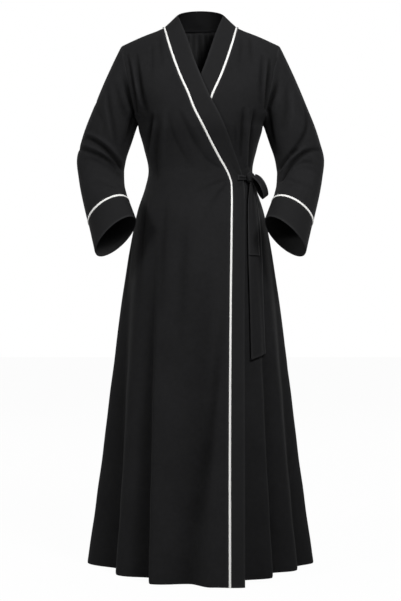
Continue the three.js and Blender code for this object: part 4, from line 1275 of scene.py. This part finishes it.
neck, neck_normals = (
    np.concatenate([right, left[:-1][::-1]]) for right, left in zip(right_neck, left_neck)
)
dress_piece(
    "neck_band",
    rolled(neck, neck_normals, columns=(False, True), **PRESSED_ROLL),
    "band",
    neck_normals,
    DOUBLED,
)

back = back_points()
back_normals = grid_normals(back, from_axis(back))
soft_back, moved = creased(back, back_normals, BACK_CREASES, on_back)
soft_back = rolled(rippled(soft_back, back_normals), back_normals)
back_shade = valley_shade(BACK_FOLDS, mix(90, 270, shares(BACK_COLUMNS)), back[..., 2])
dress_piece(
    "back_panel",
    soft_back,
    "body",
    from_axis(back),
    CLOTH,
    moved=moved + back_shade,
)


def arm_pieces(side, front_edge, back_edge, creases, place):
    """A sleeve, its piping and its cuff. The waves of the sleeve start past the armhole's seam."""
    points = sleeve_points(front_edge, back_edge)
    rings = CUFF_SEAM_RING * shares(SLEEVE_ROWS, SLEEVE_ENDS)[:, None]
    facing = points - sleeve_frame(rings + 0 * RING_TURNS)[0]
    normals = grid_normals(points, facing, ring=True)
    soft, moved = creased(points, normals, creases, on_sleeve)
    waved = rippled(soft, normals, SLEEVE_RIPPLE)
    soft = mix(points, waved, smooth(rings, 0, SEAM_RING)[..., None])
    soft = rolled(soft, normals, columns=(False, False), rows=(False, True))
    dress_piece(
        f"{side}_sleeve",
        place(soft),
        "sleeve",
        place(facing),
        CLOTH,
        ring=True,
        moved=moved,
    )
    first, last = (CUFF_SEAM_RING, -PIPING_PAST), (CUFF_SEAM_RING, PIPING + PIPING_PAST)
    points, facing = cuff_points(first, last, CUFF_PIPING_ROWS)
    swell = piping_swell(len(points))[:, None, None]
    points = points + grid_normals(points, facing, ring=True) * swell
    piping = dress_piece(
        f"{side}_cuff_piping", place(points), "piping", place(facing), PIPING_WALL, ring=True
    )
    first, last = (CUFF_SEAM_RING, PIPING + CUFF_GAP), (CUFF_END_RING, 0)
    points, facing = cuff_points(first, last, CUFF_ROWS)
    normals = grid_normals(points, facing, ring=True)
    soft = rolled(
        rippled(points, normals, CUFF_RIPPLE), normals, columns=(False, False), **PRESSED_ROLL
    )
    dress_piece(
        f"{side}_cuff",
        place(soft),
        "cuff",
        place(facing),
        DOUBLED,
        ring=True,
    )


arm_pieces("right", right_edge, soft_back[:, -1], RIGHT_SLEEVE_CREASES, as_drawn)
arm_pieces("left", left_edge, mirrored(soft_back[:, 0]), LEFT_SLEEVE_CREASES, mirrored)


# The tie at the wearer's left waist


def outwards_at(x, z):
    """The front's outward direction at a place, level with the floor: (x / W^2, y / D^2) made one
    long."""
    x, z = np.broadcast_arrays(np.asarray(x, float), np.asarray(z, float))
    y = on_upper_front(x, z)[..., 1]
    return unit(np.stack([x / half_width(z) ** 2, y / front_depth(z) ** 2, 0 * x], -1))


def strap_points():
    """The strap, standing off the front by its lift and by two rows of gathers, 2 sin^2 - 1 of two
    turns over its width. It narrows as 1 - pinch along^2, and its painted shade goes down the
    middle as exp(-(distance / groove)^2)."""
    across = np.linspace(0, 1, STRAP["rows"])[:, None]
    along = np.linspace(0, 1, STRAP["columns"])
    x = mix(STRAP["start"], STRAP["end"], along) + 0 * across
    pinch = 1 - STRAP["pinch"] * along**2
    middle = (STRAP["top"] + STRAP["bottom"]) / 2
    z = middle + (mix(STRAP["bottom"], STRAP["top"], across) - middle) * pinch
    ridges = STRAP["ridge"] * (2 * np.sin(2 * np.pi * across) ** 2 - 1)
    gathered = smooth(along, *STRAP["fades"])
    lift = STRAP["lift"] + ridges * gathered
    # Painted shade: the crease attribute darkens the groove between the gathers
    moved = CREASE_FULL * gathered * np.exp(-(((across - 0.5) / STRAP["groove"]) ** 2))
    return on_upper_front(x, z) + outwards_at(x, z) * lift[..., None], moved


knot_outwards = outwards_at(KNOT["x"], KNOT["z"])
knot_centre = on_upper_front(KNOT["x"], KNOT["z"]) + knot_outwards * KNOT["lift"]


def knot_points():
    """A squashed ball wound with cloth. Its radius is 1 + swell cos(height) sin(wraps turn +
    twist height) - waist cos(height) exp(-((height - leans sin(turn)) / waist width)^2)."""
    height = np.linspace(-np.pi / 2, np.pi / 2, KNOT["rows"])[:, None]
    turn = 2 * np.pi * np.arange(KNOT["columns"]) / KNOT["columns"]
    level = np.cos(height)
    wound = 1 + KNOT["swell"] * level * np.sin(KNOT["wraps"] * turn + KNOT["twist"] * height)
    off_waist = (height - KNOT["waist_leans"] * np.sin(turn)) / KNOT["waist_width"]
    wound = wound - KNOT["waist"] * np.exp(-(off_waist**2)) * level
    ball = np.stack([level * np.cos(turn), level * np.sin(turn), np.sin(height) + 0 * turn], -1)
    return knot_centre + KNOT["half"] * ball * wound[..., None], ball


def tail_points(tail):
    """A tail that leaves the knot's underside and settles onto the under front. It stands off by
    its lift, by gathers of two cosine turns over its width below the knot, and by a swing that
    goes down its length as a sine; and its cut end is slanted."""
    rows = tail["rows"]
    left, right = curve(rows, "z", "left"), curve(rows, "z", "right")
    bottom, top = rows["z"][0], rows["z"][-1]
    z = mix(bottom, top, shares(TAIL_ROWS, TAIL_ENDS))[:, None]
    s = np.linspace(0, 1, TAIL_COLUMNS)
    cut = tail["slant"] * (1 - smooth(z, bottom, bottom + max(SLANT_REACH * tail["slant"], 1)))
    level = np.minimum(top, z + cut * s)
    x = mix(left(z), right(z), s)
    proud = mix(tail["lift"], tail["top_lift"], smooth(z, top - TAIL_SETTLE, top))
    gathers = TAIL_GATHERS * smooth(z, top - TAIL_GATHERED, top) * np.cos(4 * np.pi * s)
    swing = TAIL_SWING * np.sin((z - bottom) / TAIL_SWING_LENGTH) * (s - 0.5)
    lift = proud + (gathers + swing) + TAIL_CLEAR
    under = mirrored(on_under_front(-x, level))
    return under + outwards_at(x, level) * lift[..., None]


def loop_points():
    """A ribbon round a drooping drop shape. With r = (1 - cos t) / 2, its middle line is
    root + along L r + open A sin(t) r^sharpness, less a droop of D r^2. Its gathers are three
    cosine turns over its width, away from the loop's heart."""
    along = unit(LOOP["along"])
    over = unit(LOOP["across"] - LOOP["across"] @ along * along)
    open_way = np.cross(over, along)
    root = knot_centre + along * LOOP["root_reach"] + UP_WAY * LOOP["root_rise"]
    ends = (LOOP["root_angle"], 360 - LOOP["root_angle"])
    turn = np.radians(np.linspace(*ends, LOOP["rows"]))[:, None]
    reach = (1 - np.cos(turn)) / 2
    line = root + along * LOOP["length"] * reach - UP_WAY * LOOP["droop"] * reach**2
    spread = LOOP["opening"] * np.sin(turn) * reach ** LOOP["sharpness"]
    middle = line + open_way * spread
    width = mix(LOOP["root_width"], LOOP["tip_width"], smooth(reach, *LOOP["widens"]))
    s = np.linspace(-0.5, 0.5, LOOP["columns"])
    gathered = 1 - smooth(reach, *LOOP["gather_fades"])
    gathers = LOOP["gathers"] * gathered * np.cos(6 * np.pi * s)
    share = LOOP["heart"]
    heart = root + along * LOOP["length"] * share - UP_WAY * LOOP["droop"] * share**2
    out = unit(middle - heart)
    points = middle[:, None] + over * (width * s)[..., None] + out[:, None] * gathers[..., None]
    # Painted light: through the crease attribute, a painted highlight on the gathers' crests and
    # painted shade between them
    return points, np.broadcast_to(out[:, None], points.shape), -CREASE_FULL * gathers


strap, strap_painted_shade = strap_points()
dress_piece(
    "tie_strap",
    strap,
    "band",
    from_axis(strap),
    RIBBON,
    moved=strap_painted_shade,
)
knot, knot_facing = knot_points()
knot_piece = add_grid("tie_knot_cloth", knot, (band_crepe,), knot_facing, ring=True, weld=True)
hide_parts("tie_knot")
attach(knot_piece, "root")
loop, loop_facing, loop_painted_light = loop_points()
dress_piece(
    "tie_loop",
    loop,
    "band",
    loop_facing,
    RIBBON,
    moved=loop_painted_light,
)
for name, tail, flat in (
    ("tie_tail_long", LONG_TAIL, (0.045, 0.46)),
    ("tie_tail_short", SHORT_TAIL, (0.032, 0.19)),
):
    points = tail_points(tail)
    dress_piece(
        name, points, "band", from_axis(points), RIBBON
    )


# Studio: sizes in metres, and lamps with their place, target, size and power in watts
FLOOR_HALF, FLOOR_GAP, FLOOR_SHADOW = 12.0, 0.002, 0.03
SKY_LIGHT = 0.1
LENS_MM, SENSOR_MM = 76.9, 36.0
CAMERA_PLACE = (0, -3.3, -0.699)
LAMPS = {
    "key_right": ((1.6, -2.2, 2.0), (0, 0, -0.3), 0.8, 74),
    "key_left": ((-2.5, -2.1, 0.8), (0, 0, -0.7), 0.8, 47),
    "chest": ((0.5, -1.3, 0.4), (0.1, -0.1, -0.2), 0.5, 8),
    "back_left": ((-2.4, 3.0, 0.8), (0, 0, -0.6), 2.0, 32),
    "back_right": ((2.4, 3.0, 0.8), (0, 0, -0.6), 2.0, 32),
}


def floor_material():
    """A pale floor that the camera sees nearly as white as the studio round it, with a faint
    shadow, and that throws little light back up."""
    material = bpy.data.materials.new("pale_floor")
    material.use_nodes = True
    tree = material.node_tree
    tree.nodes.clear()
    white = node(tree, "ShaderNodeEmission", Color=(1, 1, 1, 1), Strength=1.0)
    pale = node(tree, "ShaderNodeBsdfDiffuse", Color=(0.9, 0.9, 0.9, 1))
    dull = node(tree, "ShaderNodeBsdfDiffuse", Color=(0.45, 0.45, 0.45, 1))
    ray = node(tree, "ShaderNodeLightPath")
    seen = blended(tree, FLOOR_SHADOW, white, pale)
    both = blended(tree, (ray, "Is Camera Ray"), dull, seen)
    end = tree.nodes.new("ShaderNodeOutputMaterial")
    tree.links.new(both.outputs[0], end.inputs["Surface"])
    return material


def blended(tree, share, first, second):
    """Two shaders mixed, with a share of the second."""
    return node(tree, "ShaderNodeMixShader", s0=share, s1=(first, 0), s2=(second, 0))


floor_mesh = bpy.data.meshes.new("floor")
floor_corners = np.array([(-1, -1), (1, -1), (1, 1), (-1, 1)]) * FLOOR_HALF
floor_level = np.full((4, 1), HEM_Z * MM - FLOOR_GAP)
floor_mesh.from_pydata(np.hstack([floor_corners, floor_level]).tolist(), [], [(0, 1, 2, 3)])
floor_mesh.materials.append(floor_material())
floor = bpy.data.objects.new("floor", floor_mesh)
bpy.context.scene.collection.objects.link(floor)


def area_light(name, place, target, size, power):
    """A round lamp at a place, turned towards its target."""
    light = bpy.data.lights.new(name, "AREA")
    light.shape = "DISK"
    light.size = size
    light.energy = power
    lamp = bpy.data.objects.new(name, light)
    bpy.context.scene.collection.objects.link(lamp)
    lamp.location = place
    way = np.array(target) - np.array(place)
    lamp.rotation_euler = Vector(way).to_track_quat("-Z", "Y").to_euler()


for lamp_name, lamp_sizes in LAMPS.items():
    area_light(lamp_name, *lamp_sizes)

world = bpy.data.worlds.new("white")
bpy.context.scene.world = world
world.use_nodes = True
tree = world.node_tree
tree.nodes.clear()
seen = node(tree, "ShaderNodeBackground", Color=(1, 1, 1, 1), Strength=1.0)
lit = node(tree, "ShaderNodeBackground", Color=(1, 1, 1, 1), Strength=SKY_LIGHT)
ray = node(tree, "ShaderNodeLightPath")
sky = tree.nodes.new("ShaderNodeOutputWorld")
both = blended(tree, (ray, "Is Camera Ray"), lit, seen)
tree.links.new(both.outputs[0], sky.inputs["Surface"])

bpy.context.scene.view_settings.view_transform = "Standard"

camera_data = bpy.data.cameras.new("camera")
camera_data.lens = LENS_MM
camera_data.sensor_width = SENSOR_MM
camera = bpy.data.objects.new("camera", camera_data)
camera.location = CAMERA_PLACE
camera.rotation_euler = (np.pi / 2, 0, 0)
bpy.context.scene.collection.objects.link(camera)
bpy.context.scene.camera = camera
